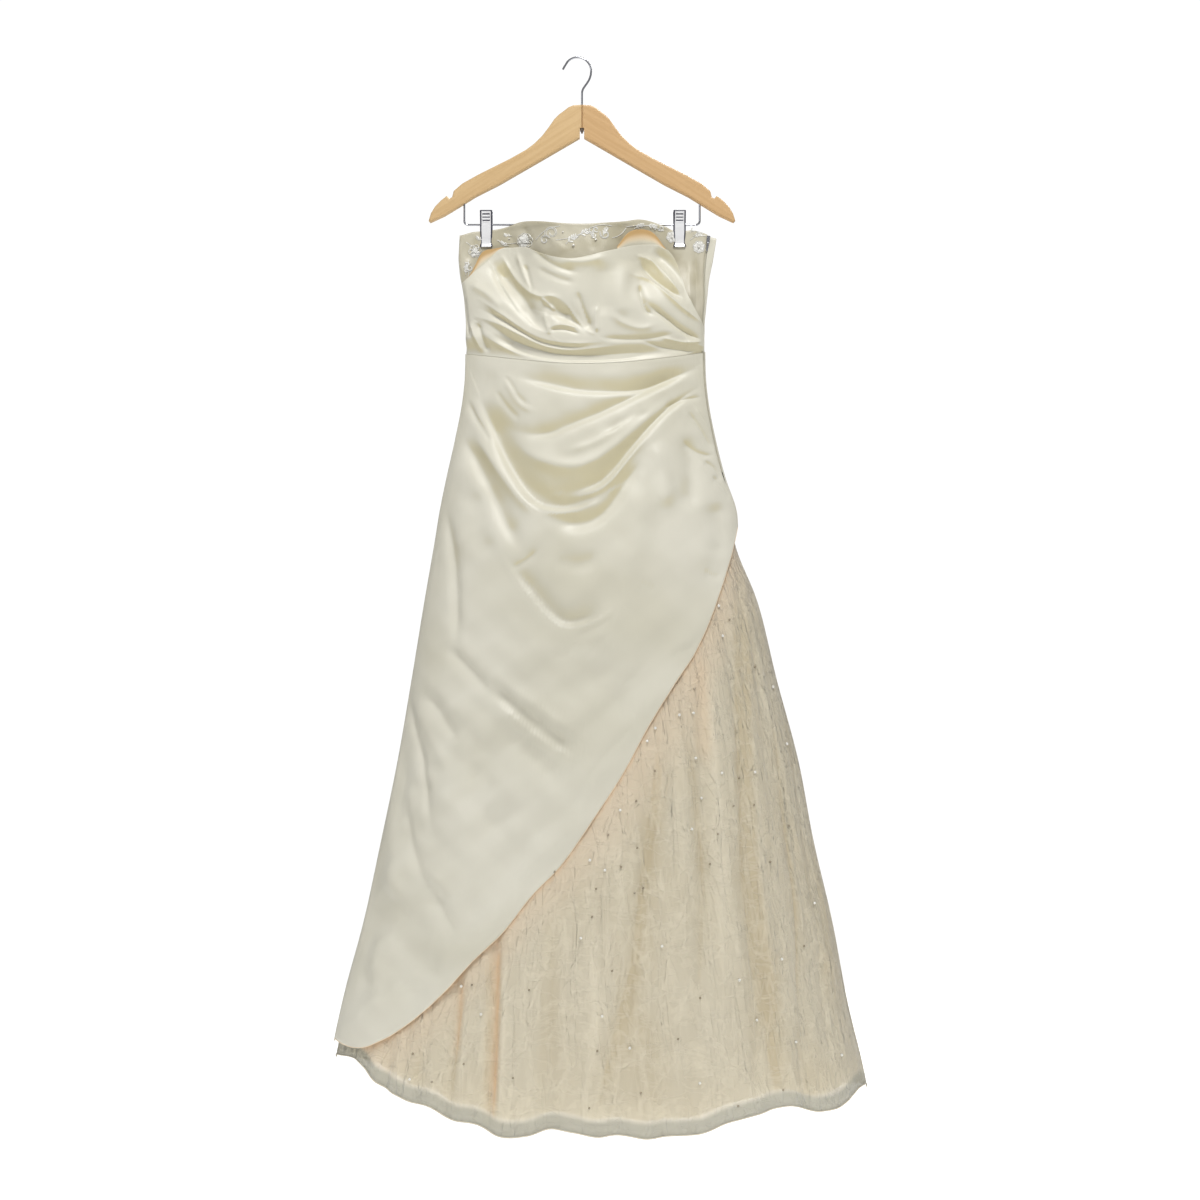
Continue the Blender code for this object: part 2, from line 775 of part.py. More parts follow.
def organza_back_move(base, across, up, turn):
    """The sheer skirt behind."""
    x, z = unseen(base)
    folds = back_relief(x, z) * ease(-z, 500.0, 900.0)
    clear = BACK_ROOM * ease(-z, 480.0, 700.0)
    return (np.maximum(folds, -LINING_ROOM) - clear) * side_share(turn, base[:, 2], 0.5)


def lining_move(base, across, up, turn):
    """The lining hangs inside all folds of the sheer skirt."""
    x, z = seen(base)
    clear = SATIN_ROOM * under_satin(x, z) * ease(-z, 426.0, 455.0)
    grown = LINING_START * ease(-z, 430.0, 520.0) + LINING_ROOM * ease(-z, 560.0, 1150.0)
    return -(clear + grown) * side_share(turn, base[:, 2], 0.5)


def lining_back_move(base, across, up, turn):
    """The lining behind."""
    z = base[:, 2]
    grown = LINING_START * ease(-z, 430.0, 520.0) + LINING_ROOM * ease(-z, 560.0, 1150.0)
    clear = BACK_ROOM * ease(-z, 480.0, 700.0)
    return -(clear + grown) * side_share(turn, base[:, 2], 0.5)


def make_skirts():
    """Satin overskirt, sheer skirt and lining, each a front and a back."""
    front = front_turn(SEAM_GAP / 2, zip_gap, right_seam)
    back = back_turn(SEAM_GAP / 2, zip_gap, right_seam)
    cloth("satin_skirt_front", 36, 19, front,
          edge_line(front, WAIST, seen, -SEAM_GAP), edge_line(front, SATIN_HEM, seen),
          satin_move, satin_skin, SATIN_WALL, "satin", ROW_CROWD)
    cloth("satin_skirt_back", 20, 19, back,
          edge_line(back, WAIST, unseen, -SEAM_GAP), edge_line(back, SATIN_HEM, unseen),
          satin_back_move, satin_skin, SATIN_WALL, "satin", ROW_CROWD)
    front = front_turn(SEAM_GAP / 2, plain_gap, inner_seam)
    back = back_turn(SEAM_GAP / 2, plain_gap, inner_seam)
    cloth("organza_front", 48, 9, front,
          edge_line(front, WAIST, seen, -INNER_GAP), edge_line(front, ORGANZA_HEM, seen),
          organza_move, organza_skin, SHEER_WALL, "organza", ROW_CROWD)
    cloth("organza_back", 36, 9, back,
          edge_line(back, WAIST, unseen, -INNER_GAP), edge_line(back, ORGANZA_HEM_BACK, unseen),
          organza_back_move, organza_skin, SHEER_WALL, "organza", ROW_CROWD)
    cloth("lining_front", 20, 9, front,
          edge_line(front, WAIST, seen, -INNER_GAP),
          edge_line(front, ORGANZA_HEM, seen, LINING_SHORT),
          lining_move, lining_skin, SHEER_WALL, "lining", ROW_CROWD)
    cloth("lining_back", 20, 9, back,
          edge_line(back, WAIST, unseen, -INNER_GAP),
          edge_line(back, ORGANZA_HEM_BACK, unseen, LINING_SHORT),
          lining_back_move, lining_skin, SHEER_WALL, "lining", ROW_CROWD)


# The side zip
def tape_turn(across, z):
    """The tape's columns, across the right side seam."""
    seam = right_seam(z)
    return seam + (2.0 * across - 1.0) * ZIP_HALF_WIDTH * seam_step(seam, z)


def seam_frame(z):
    """Place and directions on the zip: across it, outwards and up along it."""
    seam = right_seam(z)
    place = Vector(section(seam, z))
    out = Vector(outward(seam, z))
    ahead = Vector(section(right_seam(z + 4.0), z + 4.0) - section(right_seam(z - 4.0), z - 4.0))
    up = (ahead - out * ahead.dot(out)).normalized()
    across = out.cross(up).normalized()
    return place, across, out, up


def block(name, centre, size, edge):
    """A box with softened edges."""
    bpy.ops.mesh.primitive_cube_add(size=1.0)
    piece = bpy.context.object
    piece.data.transform(Matrix.Diagonal((*[value * MM for value in size], 1.0)))
    piece.data.transform(Matrix.Translation(Vector(centre) * MM))
    if edge:
        modifier = piece.modifiers.new("edges", 'BEVEL')
        modifier.width = edge * MM
        modifier.segments = 1
    piece.name = name
    return piece


def rod(name, radius, start, end, sides=16):
    """A straight closed cylinder between two points."""
    way = Vector(end) - Vector(start)
    bpy.ops.mesh.primitive_cylinder_add(vertices=sides, radius=radius * MM, depth=way.length * MM)
    piece = bpy.context.object
    turn = Vector((0.0, 0.0, 1.0)).rotation_difference(way.normalized()).to_matrix().to_4x4()
    piece.data.transform(turn)
    piece.data.transform(Matrix.Translation((Vector(start) + Vector(end)) / 2 * MM))
    piece.name = name
    return piece


def join_solid(piece, other):
    """Weld a second closed shape onto a piece."""
    modifier = piece.modifiers.new("join_" + other.name, 'BOOLEAN')
    modifier.operation = 'UNION'
    modifier.solver = 'EXACT'
    modifier.object = other
    as_cutter(other, other.name)


def make_zip():
    """Tape in the seam, slider at its head, and the pull tab on its hinge."""
    def tape_top(across, skin):
        return np.full(len(across), SLIDER_Z + SLIDER_LENGTH / 2)

    def tape_bottom(across, skin):
        return np.full(len(across), ZIP_END)

    cloth("zip_tape", 2, 22, tape_turn, tape_top, tape_bottom, flush_move, tape_skin,
          TAPE_WALL, "zip_cloth")
    place, across, out, up = seam_frame(SLIDER_Z)
    axes = Matrix((across, up, out)).transposed().to_4x4()
    hinge_y = -(SLIDER_LENGTH / 2 + SEAM_GAP + KNUCKLE_RADIUS)
    slider = block("slider_body", (0.0, 0.0, SEAM_GAP + SLIDER_HEIGHT / 2),
                   (SLIDER_WIDTH, SLIDER_LENGTH, SLIDER_HEIGHT), 0.5)
    ear_x = PULL_WIDTH / 2 + SEAM_GAP + EAR_THICK / 2
    ear_length = -hinge_y - SLIDER_LENGTH / 2 + KNUCKLE_RADIUS + 1.0
    for side in (-1.0, 1.0):
        ear = block("slider_ear" + ("_a" if side < 0 else "_b"),
                    (side * ear_x, -SLIDER_LENGTH / 2 + 1.0 - ear_length / 2,
                     HINGE_HEIGHT - 0.35),
                    (EAR_THICK, ear_length, 2.2), 0.0)
        ear.matrix_world = Matrix.Translation(place * MM) @ axes
        join_solid(slider, ear)
    slider.matrix_world = Matrix.Translation(place * MM) @ axes
    keep(slider, "zip_slider", "metal")

    hinge = place + up * hinge_y + out * HINGE_HEIGHT
    pull = rod("pull_knuckle", KNUCKLE_RADIUS, (-PULL_WIDTH / 2, 0.0, 0.0),
               (PULL_WIDTH / 2, 0.0, 0.0), 12)
    tab = block("pull_tab", (0.0, -PULL_LENGTH / 2, 0.0), (PULL_WIDTH, PULL_LENGTH, PULL_THICK),
                0.2)
    tab.matrix_world = Matrix.Translation(hinge * MM) @ axes
    join_solid(pull, tab)
    pull.matrix_world = Matrix.Translation(hinge * MM) @ axes
    keep(pull, "zip_pull", "metal")


# The hanger
def bent_wire(name, points, radius, finish_name):
    """A round wire along a run of points."""
    curve = bpy.data.curves.new(name, 'CURVE')
    curve.dimensions = '3D'
    curve.bevel_depth = radius * MM
    curve.bevel_resolution = 2
    curve.use_fill_caps = True
    spline = curve.splines.new('POLY')
    spline.points.add(len(points) - 1)
    for knot, point in zip(spline.points, points):
        knot.co = (*(Vector(point) * MM), 1.0)
    piece = bpy.data.objects.new(name, curve)
    bpy.context.scene.collection.objects.link(piece)
    bpy.context.view_layer.update()
    keep_curve(piece, name, finish_name)
    return piece


def keep_curve(piece, name, finish_name):
    """File a curve piece with the dress."""
    piece.data.materials.append(finish(finish_name))
    for holder in list(piece.users_collection):
        holder.objects.unlink(piece)
    dress_collection.objects.link(piece)
    piece.name = name


def arc(centre, radius, start, end, steps):
    """Points of an arc in the plane of the hanger, angles in degrees."""
    points = []
    for step in range(steps + 1):
        angle = math.radians(start + (end - start) * step / steps)
        points.append((centre[0] + radius * math.cos(angle), 0.0,
                       centre[1] + radius * math.sin(angle)))
    return points


def turned_tube(name, inner, outer, low, high, finish_name):
    """A short tube round the Z axis, turned from its wall's profile."""
    profile = bpy.data.meshes.new(name)
    shape = bmesh.new()
    corners = [shape.verts.new((r * MM, 0.0, z * MM))
               for r, z in ((outer, high), (outer, low), (inner, low), (inner, high))]
    for start, end in zip(corners, corners[1:] + corners[:1]):
        shape.edges.new((start, end))
    shape.to_mesh(profile)
    shape.free()
    piece = bpy.data.objects.new(name, profile)
    bpy.context.scene.collection.objects.link(piece)
    screw = piece.modifiers.new("turn", 'SCREW')
    screw.angle = math.radians(360.0)
    screw.steps = 14
    screw.render_steps = 14
    screw.use_merge_vertices = True
    screw.merge_threshold = 0.00001
    keep(piece, name, finish_name)
    return piece


# Right half of the hanger's outline, from its middle out and back
HANGER_OUTLINE = (
    # x from the middle, z
    (0.15, -68.0),
    (12.3, -68.6),
    (19.5, -71.6),
    (25.4, -76.3),
    (33.0, -81.8),
    (39.9, -88.6),
    (48.5, -101.0),
    (57.3, -112.5),
    (68.9, -124.1),
    (80.5, -132.8),
    (103.7, -145.9),
    (126.9, -157.5),
    (150.1, -169.1),
    (173.3, -182.1),
    (185.9, -193.0),
    (188.0, -201.5),
    (191.5, -204.0),
    (195.5, -199.8),
    (204.0, -206.3),
    (212.9, -215.5),
    (218.8, -225.3),
    (222.1, -236.0),
    (219.5, -238.6),
    (211.0, -234.6),
    (198.8, -229.0),
    (180.5, -217.9),
    (154.4, -201.6),
    (119.6, -183.9),
    (60.0, -149.5),
    (0.15, APEX_Z),
)


def hanger_half(name, side):
    """One wooden half: its outline given its thickness, with rounded edges."""
    curve = bpy.data.curves.new(name, 'CURVE')
    curve.dimensions = '2D'
    curve.fill_mode = 'BOTH'
    curve.extrude = (HANGER_THICK / 2 - WOOD_ROUND) * MM
    curve.bevel_depth = WOOD_ROUND * MM
    curve.bevel_resolution = 1
    curve.offset = -WOOD_ROUND * MM
    outline = HANGER_OUTLINE if side > 0 else HANGER_OUTLINE[::-1]
    spline = curve.splines.new('POLY')
    spline.points.add(len(outline) - 1)
    spline.use_cyclic_u = True
    for knot, (x, z) in zip(spline.points, outline):
        knot.co = ((HANGER_X + side * x) * MM, z * MM, 0.0, 1.0)
    guide = bpy.data.objects.new(name + "_outline", curve)
    bpy.context.scene.collection.objects.link(guide)
    guide.rotation_euler = (math.radians(90.0), 0.0, 0.0)
    bpy.context.view_layer.update()
    evaluated = guide.evaluated_get(bpy.context.evaluated_depsgraph_get())
    mesh = bpy.data.meshes.new_from_object(evaluated)
    shape = bmesh.new()
    shape.from_mesh(mesh)
    bmesh.ops.remove_doubles(shape, verts=shape.verts, dist=0.00001)
    shape.to_mesh(mesh)
    shape.free()
    piece = bpy.data.objects.new(name, mesh)
    piece.matrix_world = guide.matrix_world
    bpy.context.scene.collection.objects.link(piece)
    bpy.data.objects.remove(guide, do_unlink=True)
    return piece


def make_hanger():
    """Wooden halves, hook with its nut, and the trouser bar."""
    leg_x = BAR_HALF
    stem = as_cutter(rod("stem_bore", WIRE_RADIUS + SEAM_GAP, (HANGER_X, 0.0, -60.0),
                         (HANGER_X, 0.0, -106.0)), "stem_bore")
    slot = as_cutter(block("slot", (HANGER_X, 0.0, (SLOT_TOP - 125.0) / 2),
                           (2 * SLOT_HALF, HANGER_THICK + 8.0, SLOT_TOP + 125.0), 0.0), "slot")
    for name, side in (("hanger_left", -1.0), ("hanger_right", 1.0)):
        half = hanger_half(name, side)
        x = HANGER_X + side * leg_x
        bore = as_cutter(rod(name + "_leg_bore", WIRE_RADIUS + SEAM_GAP,
                             (x, 0.0, LEG_TOP + SEAM_GAP), (x, 0.0, -230.0)), name + "_leg_bore")
        cut(half, stem)
        cut(half, slot)
        cut(half, bore)
        keep(half, name, "wood")

    hook_run = [(-21.2, 0.0, -16.1), (-18.6, 0.0, -11.4)]
    hook_run += arc((0.0, WIRE_RADIUS - HOOK_RADIUS), HOOK_RADIUS, 138.0, -8.0, 14)
    hook_run += [(18.7, 0.0, -25.8), (17.0, 0.0, -30.6), (14.2, 0.0, -35.4), (10.9, 0.0, -40.0),
                 (8.1, 0.0, -44.4), (6.8, 0.0, -48.2), (HANGER_X, 0.0, -52.0),
                 (HANGER_X, 0.0, STEM_END)]
    bent_wire("hook", hook_run, WIRE_RADIUS, "metal")
    nut = turned_tube("hook_nut", WIRE_RADIUS + SEAM_GAP, 2.75, -106.0, SLOT_TOP - SEAM_GAP,
                      "metal")
    nut.location = (HANGER_X * MM, 0.0, 0.0)

    left_x = HANGER_X - leg_x
    right_x = HANGER_X + leg_x
    bar_run = [(left_x, 0.0, LEG_TOP)]
    bar_run += arc((left_x + BAR_BEND, BAR_Z + BAR_BEND), BAR_BEND, 180.0, 270.0, 4)
    bar_run += [(HANGER_X, 0.0, BAR_Z)]
    bar_run += arc((right_x - BAR_BEND, BAR_Z + BAR_BEND), BAR_BEND, 270.0, 360.0, 4)
    bar_run += [(right_x, 0.0, LEG_TOP)]
    bent_wire("bar", bar_run, WIRE_RADIUS, "metal")


# Profile of a clip's front plate: distance forward and height
CLIP_PROFILE = (
    # forward, z
    (8.6, -221.5),
    (5.6, -230.0),
    (3.85, -238.0),
    (3.85, -245.0),
    (3.30, -256.0),
    (3.30, -271.0),
    (4.7, -274.0),
)


def clip_plate(name, centre_x, side):
    """One pressed plate of a clip: thumb piece, pivot and jaw."""
    bpy.ops.mesh.primitive_grid_add(x_subdivisions=1, y_subdivisions=len(CLIP_PROFILE) - 1,
                                    size=2.0)
    plate = bpy.context.object
    for vertex in plate.data.vertices:
        row = round((1.0 - vertex.co.y) / 2 * (len(CLIP_PROFILE) - 1))
        forward, z = CLIP_PROFILE[row]
        x = centre_x + vertex.co.x * CLIP_WIDTH / 2
        vertex.co = Vector((x, side * forward, z)) * MM
    wall = plate.modifiers.new("sheet", 'SOLIDIFY')
    wall.thickness = CLIP_SHEET * MM
    wall.offset = 0.0
    keep(plate, name, "metal")
    return plate


def make_clips():
    """Two clips: a plate in front, a plate behind and a spring round the bar."""
    for place, centre_x in zip(("left", "right"), CLIP_X):
        clip_plate("clip_" + place + "_front", centre_x, -1.0)
        back = clip_plate("clip_" + place + "_back", centre_x, 1.0)
        back.data.flip_normals()
        spring = turned_tube("clip_" + place + "_spring", WIRE_RADIUS + SEAM_GAP, 2.95,
                             -CLIP_WIDTH / 2 + 2.0, CLIP_WIDTH / 2 - 2.0, "metal")
        spring.rotation_euler = (0.0, math.radians(90.0), 0.0)
        spring.location = (centre_x * MM, 0.0, BAR_Z * MM)


make_bodice()
make_skirts()
make_zip()
make_hanger()
make_clips()
bpy.context.view_layer.update()
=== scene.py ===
"""Looks of a strapless satin party dress hung by two clips from a wooden hanger.

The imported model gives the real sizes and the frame: metres, +Z up, the origin
at the inner top of the hanger's hook and the dress's front facing -Y. Sizes
below are in millimetres unless they say otherwise.
"""

import math
import random

import bmesh
import bpy
import numpy as np
from bpy.props import FloatProperty, FloatVectorProperty, PointerProperty
from bpy.types import Operator, Panel, PropertyGroup
from mathutils import Matrix, Vector
from mathutils.bvhtree import BVHTree


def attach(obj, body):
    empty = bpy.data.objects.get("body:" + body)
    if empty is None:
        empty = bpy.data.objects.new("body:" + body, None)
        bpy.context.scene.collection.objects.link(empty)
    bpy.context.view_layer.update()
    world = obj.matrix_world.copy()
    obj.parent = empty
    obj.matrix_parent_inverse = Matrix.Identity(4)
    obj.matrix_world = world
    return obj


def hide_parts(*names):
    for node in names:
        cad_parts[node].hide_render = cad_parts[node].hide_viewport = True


bl_info = {
    "name": "Party Dress on a Clip Hanger",
    "version": (1, 0, 0),
    "blender": (4, 5, 0),
    "location": "View3D > Sidebar > Dress",
    "description": "Builds the cloth, beads, threads and stage of a hanging party dress",
    "category": "Object",
}

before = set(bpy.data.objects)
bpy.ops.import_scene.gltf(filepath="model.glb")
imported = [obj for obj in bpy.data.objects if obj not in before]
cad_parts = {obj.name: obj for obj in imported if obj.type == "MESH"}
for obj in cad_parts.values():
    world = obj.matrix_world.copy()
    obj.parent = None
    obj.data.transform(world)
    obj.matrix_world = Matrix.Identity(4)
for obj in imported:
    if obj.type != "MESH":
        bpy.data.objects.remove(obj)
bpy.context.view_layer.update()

MM = 0.001

# Scale of a wave texture that gives one wave a metre
WAVE_SCALE = 0.314

# Layers of the dress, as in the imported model
SEAM_GAP = 0.35
INNER_GAP = 0.75
FLAT_HALF = 2.4
SKIRT_FLAT = 2.4
BAR_ROOM = 1.6
TIP_SHARE = 0.06
SATIN_PROUD = 1.5
DRAPE_RECESS = 4.4
DRAPE_LEAST = 3.2
DRAPE_FOOT = 1.2
DRAPE_RISE = 4.0
DRAPE_LOOSE = 4.0
FACING_BACK = 2.7
FACING_TOP = 5.0
LINING_START = 3.0
LINING_ROOM = 11.0
LINING_SHORT = 22.0
SATIN_ROOM = 13.5
BACK_ROOM = 4.0
HANGER_X = 6.5
CLIP_PINCH = 1.0
WAIST_DOWN = 428.0
HIP_DOWN = 560.0
FRONT_CROWD = 0.25
BACK_CROWD = 0.35
LEFT_SEAM = math.radians(-84.0)

# How far in from the side seams a skirt's folds reach full height, in radians
SKIRT_REACH = 0.5
OVERSKIRT_REACH = 0.42

# Slack starts and is full at these distances from a clip's middle
CLIP_REACH = (9.0, 16.0)

# The sheer skirt's gap under the overskirt, and its freedom past that hem
SHEER_GAP = 1.4
SHEER_FREE = 14.0

# The place from which the front's outlines and folds are sized
VIEW_DISTANCE = 3000.0
VIEW_X = 33.0
VIEW_Z = -785.0

# A square chart laid over the front view: millimetres a step, and the steps
# across and down at which the origin lies
CHART_STEP = 1.45
CHART_ACROSS = 577.5
CHART_DOWN = 58.4

# Rows of the dress's form: height, left and right side, depth in front and
# behind, and how pointed the section is at its sides
SECTIONS = (
    # z, left, right, front, back, point
    (-225.0, -171.0, 203.0, 40.0, 27.0, 1.90),
    (-258.0, -171.0, 202.0, 43.0, 30.0, 1.90),
    (-292.0, -172.0, 196.0, 48.0, 33.0, 1.85),
    (-321.0, -169.0, 191.0, 51.0, 36.0, 1.80),
    (-350.0, -163.0, 188.0, 51.0, 37.0, 1.75),
    (-380.0, -160.0, 185.0, 48.0, 37.0, 1.70),
    (-430.0, -161.0, 184.0, 45.0, 37.0, 1.65),
    (-466.0, -162.0, 185.0, 50.0, 41.0, 1.60),
    (-495.0, -165.0, 188.0, 56.0, 45.0, 1.60),
    (-553.0, -176.0, 199.0, 66.0, 53.0, 1.55),
    (-611.0, -189.0, 214.0, 75.0, 60.0, 1.50),
    (-655.0, -198.0, 229.0, 81.0, 66.0, 1.50),
    (-698.0, -205.0, 233.0, 87.0, 71.0, 1.45),
    (-785.0, -220.0, 266.0, 97.0, 80.0, 1.40),
    (-901.0, -239.0, 295.0, 108.0, 89.0, 1.35),
    (-1017.0, -259.0, 326.0, 117.0, 96.0, 1.30),
    (-1133.0, -283.0, 348.0, 125.0, 102.0, 1.30),
    (-1249.0, -308.0, 375.0, 133.0, 108.0, 1.25),
    (-1365.0, -339.0, 397.0, 140.0, 114.0, 1.25),
    (-1480.0, -362.0, 424.0, 147.0, 119.0, 1.20),
    (-1570.0, -374.0, 438.0, 152.0, 123.0, 1.20),
)

# Right side seam: height and its angle round the section
RIGHT_SEAM = (
    # z, degrees
    (-225.0, 69.0),
    (-300.0, 70.5),
    (-350.0, 77.0),
    (-437.0, 80.0),
    (-520.0, 80.0),
    (-610.0, 80.0),
    (-680.0, 84.0),
    (-1000.0, 84.0),
    (-1600.0, 84.0),
)

# Edges as seen from the front: x and z
BODICE_TOP = (
    # x, z
    (-180.0, -258.0),
    (-171.0, -257.0),
    (-153.0, -252.0),
    (-132.0, -250.0),
    (-105.0, -245.5),
    (-83.0, -237.5),
    (-54.0, -236.0),
    (-25.0, -238.5),
    (8.0, -239.5),
    (40.0, -238.0),
    (69.0, -236.0),
    (91.0, -233.5),
    (105.0, -236.0),
    (118.0, -240.5),
    (128.0, -244.0),
    (138.0, -249.5),
    (158.0, -250.0),
    (166.0, -249.0),
    (182.0, -253.0),
    (202.0, -262.0),
)
DRAPE_TOP = (
    (-180.0, -334.0),
    (-164.0, -326.0),
    (-149.0, -313.0),
    (-132.0, -299.0),
    (-115.0, -280.0),
    (-90.0, -276.0),
    (-70.0, -275.5),
    (-49.0, -284.0),
    (-12.0, -292.5),
    (16.0, -288.5),
    (42.0, -281.0),
    (69.0, -274.0),
    (96.0, -271.5),
    (122.0, -275.0),
    (139.0, -290.0),
    (150.0, -318.0),
    (160.0, -350.0),
    (172.0, -376.0),
    (184.0, -396.0),
    (200.0, -404.0),
)
FACING_LEFT_TOP = (
    (-180.0, -330.0),
    (-164.0, -325.0),
    (-154.0, -313.0),
    (-147.0, -299.0),
    (-141.0, -286.0),
    (-133.0, -279.0),
    (-124.0, -277.5),
    (-112.0, -275.0),
    (-98.0, -276.0),
    (-90.0, -277.0),
)
FACING_RIGHT_TOP = (
    (50.0, -278.0),
    (56.0, -272.0),
    (69.0, -255.0),
    (85.0, -248.5),
    (101.0, -250.0),
    (117.0, -262.0),
    (125.0, -273.0),
    (132.0, -281.0),
)
WAIST = (
    (-190.0, -428.0),
    (-159.0, -429.5),
    (-92.0, -436.0),
    (-25.0, -442.0),
    (60.0, -441.0),
    (130.0, -434.0),
    (190.0, -426.0),
)
SATIN_HEM = (
    (-372.0, -1395.0),
    (-353.0, -1420.0),
    (-340.0, -1428.0),
    (-326.0, -1433.0),
    (-307.0, -1433.0),
    (-285.0, -1424.0),
    (-244.0, -1398.0),
    (-196.0, -1357.0),
    (-152.0, -1309.0),
    (-107.0, -1265.0),
    (-66.0, -1213.0),
    (-26.0, -1172.0),
    (26.0, -1098.0),
    (71.0, -1028.0),
    (99.0, -975.0),
    (142.0, -904.0),
    (175.0, -853.0),
    (207.0, -773.0),
    (218.0, -738.0),
    (230.0, -690.0),
    (236.0, -660.0),
)
ORGANZA_HEM = (
    (-372.0, -1436.0),
    (-348.0, -1444.0),
    (-320.0, -1452.0),
    (-295.0, -1484.0),
    (-271.0, -1499.0),
    (-249.0, -1512.0),
    (-214.0, -1521.0),
    (-190.0, -1537.0),
    (-144.0, -1547.0),
    (-121.0, -1561.0),
    (-75.0, -1563.0),
    (-40.0, -1553.0),
    (-5.0, -1558.0),
    (30.0, -1565.0),
    (53.0, -1561.0),
    (99.0, -1567.0),
    (134.0, -1563.0),
    (181.0, -1559.0),
    (215.0, -1545.0),
    (262.0, -1532.0),
    (308.0, -1519.0),
    (354.0, -1527.0),
    (385.0, -1518.0),
    (412.0, -1490.0),
    (432.0, -1482.0),
)

# Heights of the hidden back edges: x and z
BODICE_TOP_BACK = (
    (-175.0, -257.0),
    (-132.0, -254.0),
    (0.0, -258.0),
    (148.0, -253.0),
    (190.0, -259.0),
    (204.0, -262.5),
)
ORGANZA_HEM_BACK = (
    (-372.0, -1436.0),
    (-348.0, -1444.0),
    (-325.0, -1455.0),
    (-260.0, -1478.0),
    (-200.0, -1490.0),
    (-140.0, -1504.0),
    (-70.0, -1510.0),
    (0.0, -1508.0),
    (70.0, -1514.0),
    (140.0, -1508.0),
    (210.0, -1500.0),
    (280.0, -1494.0),
    (350.0, -1494.0),
    (400.0, -1492.0),
    (430.0, -1484.0),
)

# Large folds of the sheer skirt's front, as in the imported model. Each has the
# widths of its two flanks, its depth (positive stands out) and its run
ORGANZA_FOLDS = (
    # left flank, right flank, depth, run as x and z
    (12, 12, -10.0, ((-118, -1240), (-122, -1435), (-129, -1570))),
    (12, 12, -9.0, ((-172, -1300), (-188, -1500), (-190, -1570))),
    (13, 13, -10.0, ((109, -1046), (103, -1152), (83, -1328), (38, -1468), (22, -1570))),
    (11, 11, -8.0, ((180, -900), (182, -1180), (178, -1400), (160, -1580))),
    (11, 11, -8.0, ((226, -860), (249, -1100), (262, -1300), (262, -1560))),
    (12, 12, -9.0, ((234, -1138), (270, -1363), (288, -1560))),
    (12, 12, -9.0, ((325, -1271), (330, -1429), (335, -1560))),
    (14, 14, -8.0, ((-47, -1300), (-43, -1570))),
    (14, 14, -7.0, ((-236, -1420), (-244, -1560))),
    (14, 14, -7.0, ((-282, -1440), (-292, -1560))),
    (13, 13, -7.0, ((255, -900), (310, -1150), (370, -1540))),
    (12, 12, -6.0, ((60, -1280), (88, -1580))),
    (12, 12, -6.0, ((120, -1280), (128, -1580))),
)
# Folds behind: their place at the hem as a share of the width, flank and depth
BACK_FOLDS = (
    # share, flank, depth
    (-0.86, 17.0, -8.0),
    (-0.66, 19.0, -9.0),
    (-0.45, 16.0, -7.0),
    (-0.27, 20.0, -10.0),
    (-0.06, 17.0, -8.0),
    (0.14, 20.0, -9.0),
    (0.33, 16.0, -7.0),
    (0.52, 20.0, -10.0),
    (0.71, 17.0, -8.0),
    (0.88, 15.0, -7.0),
)

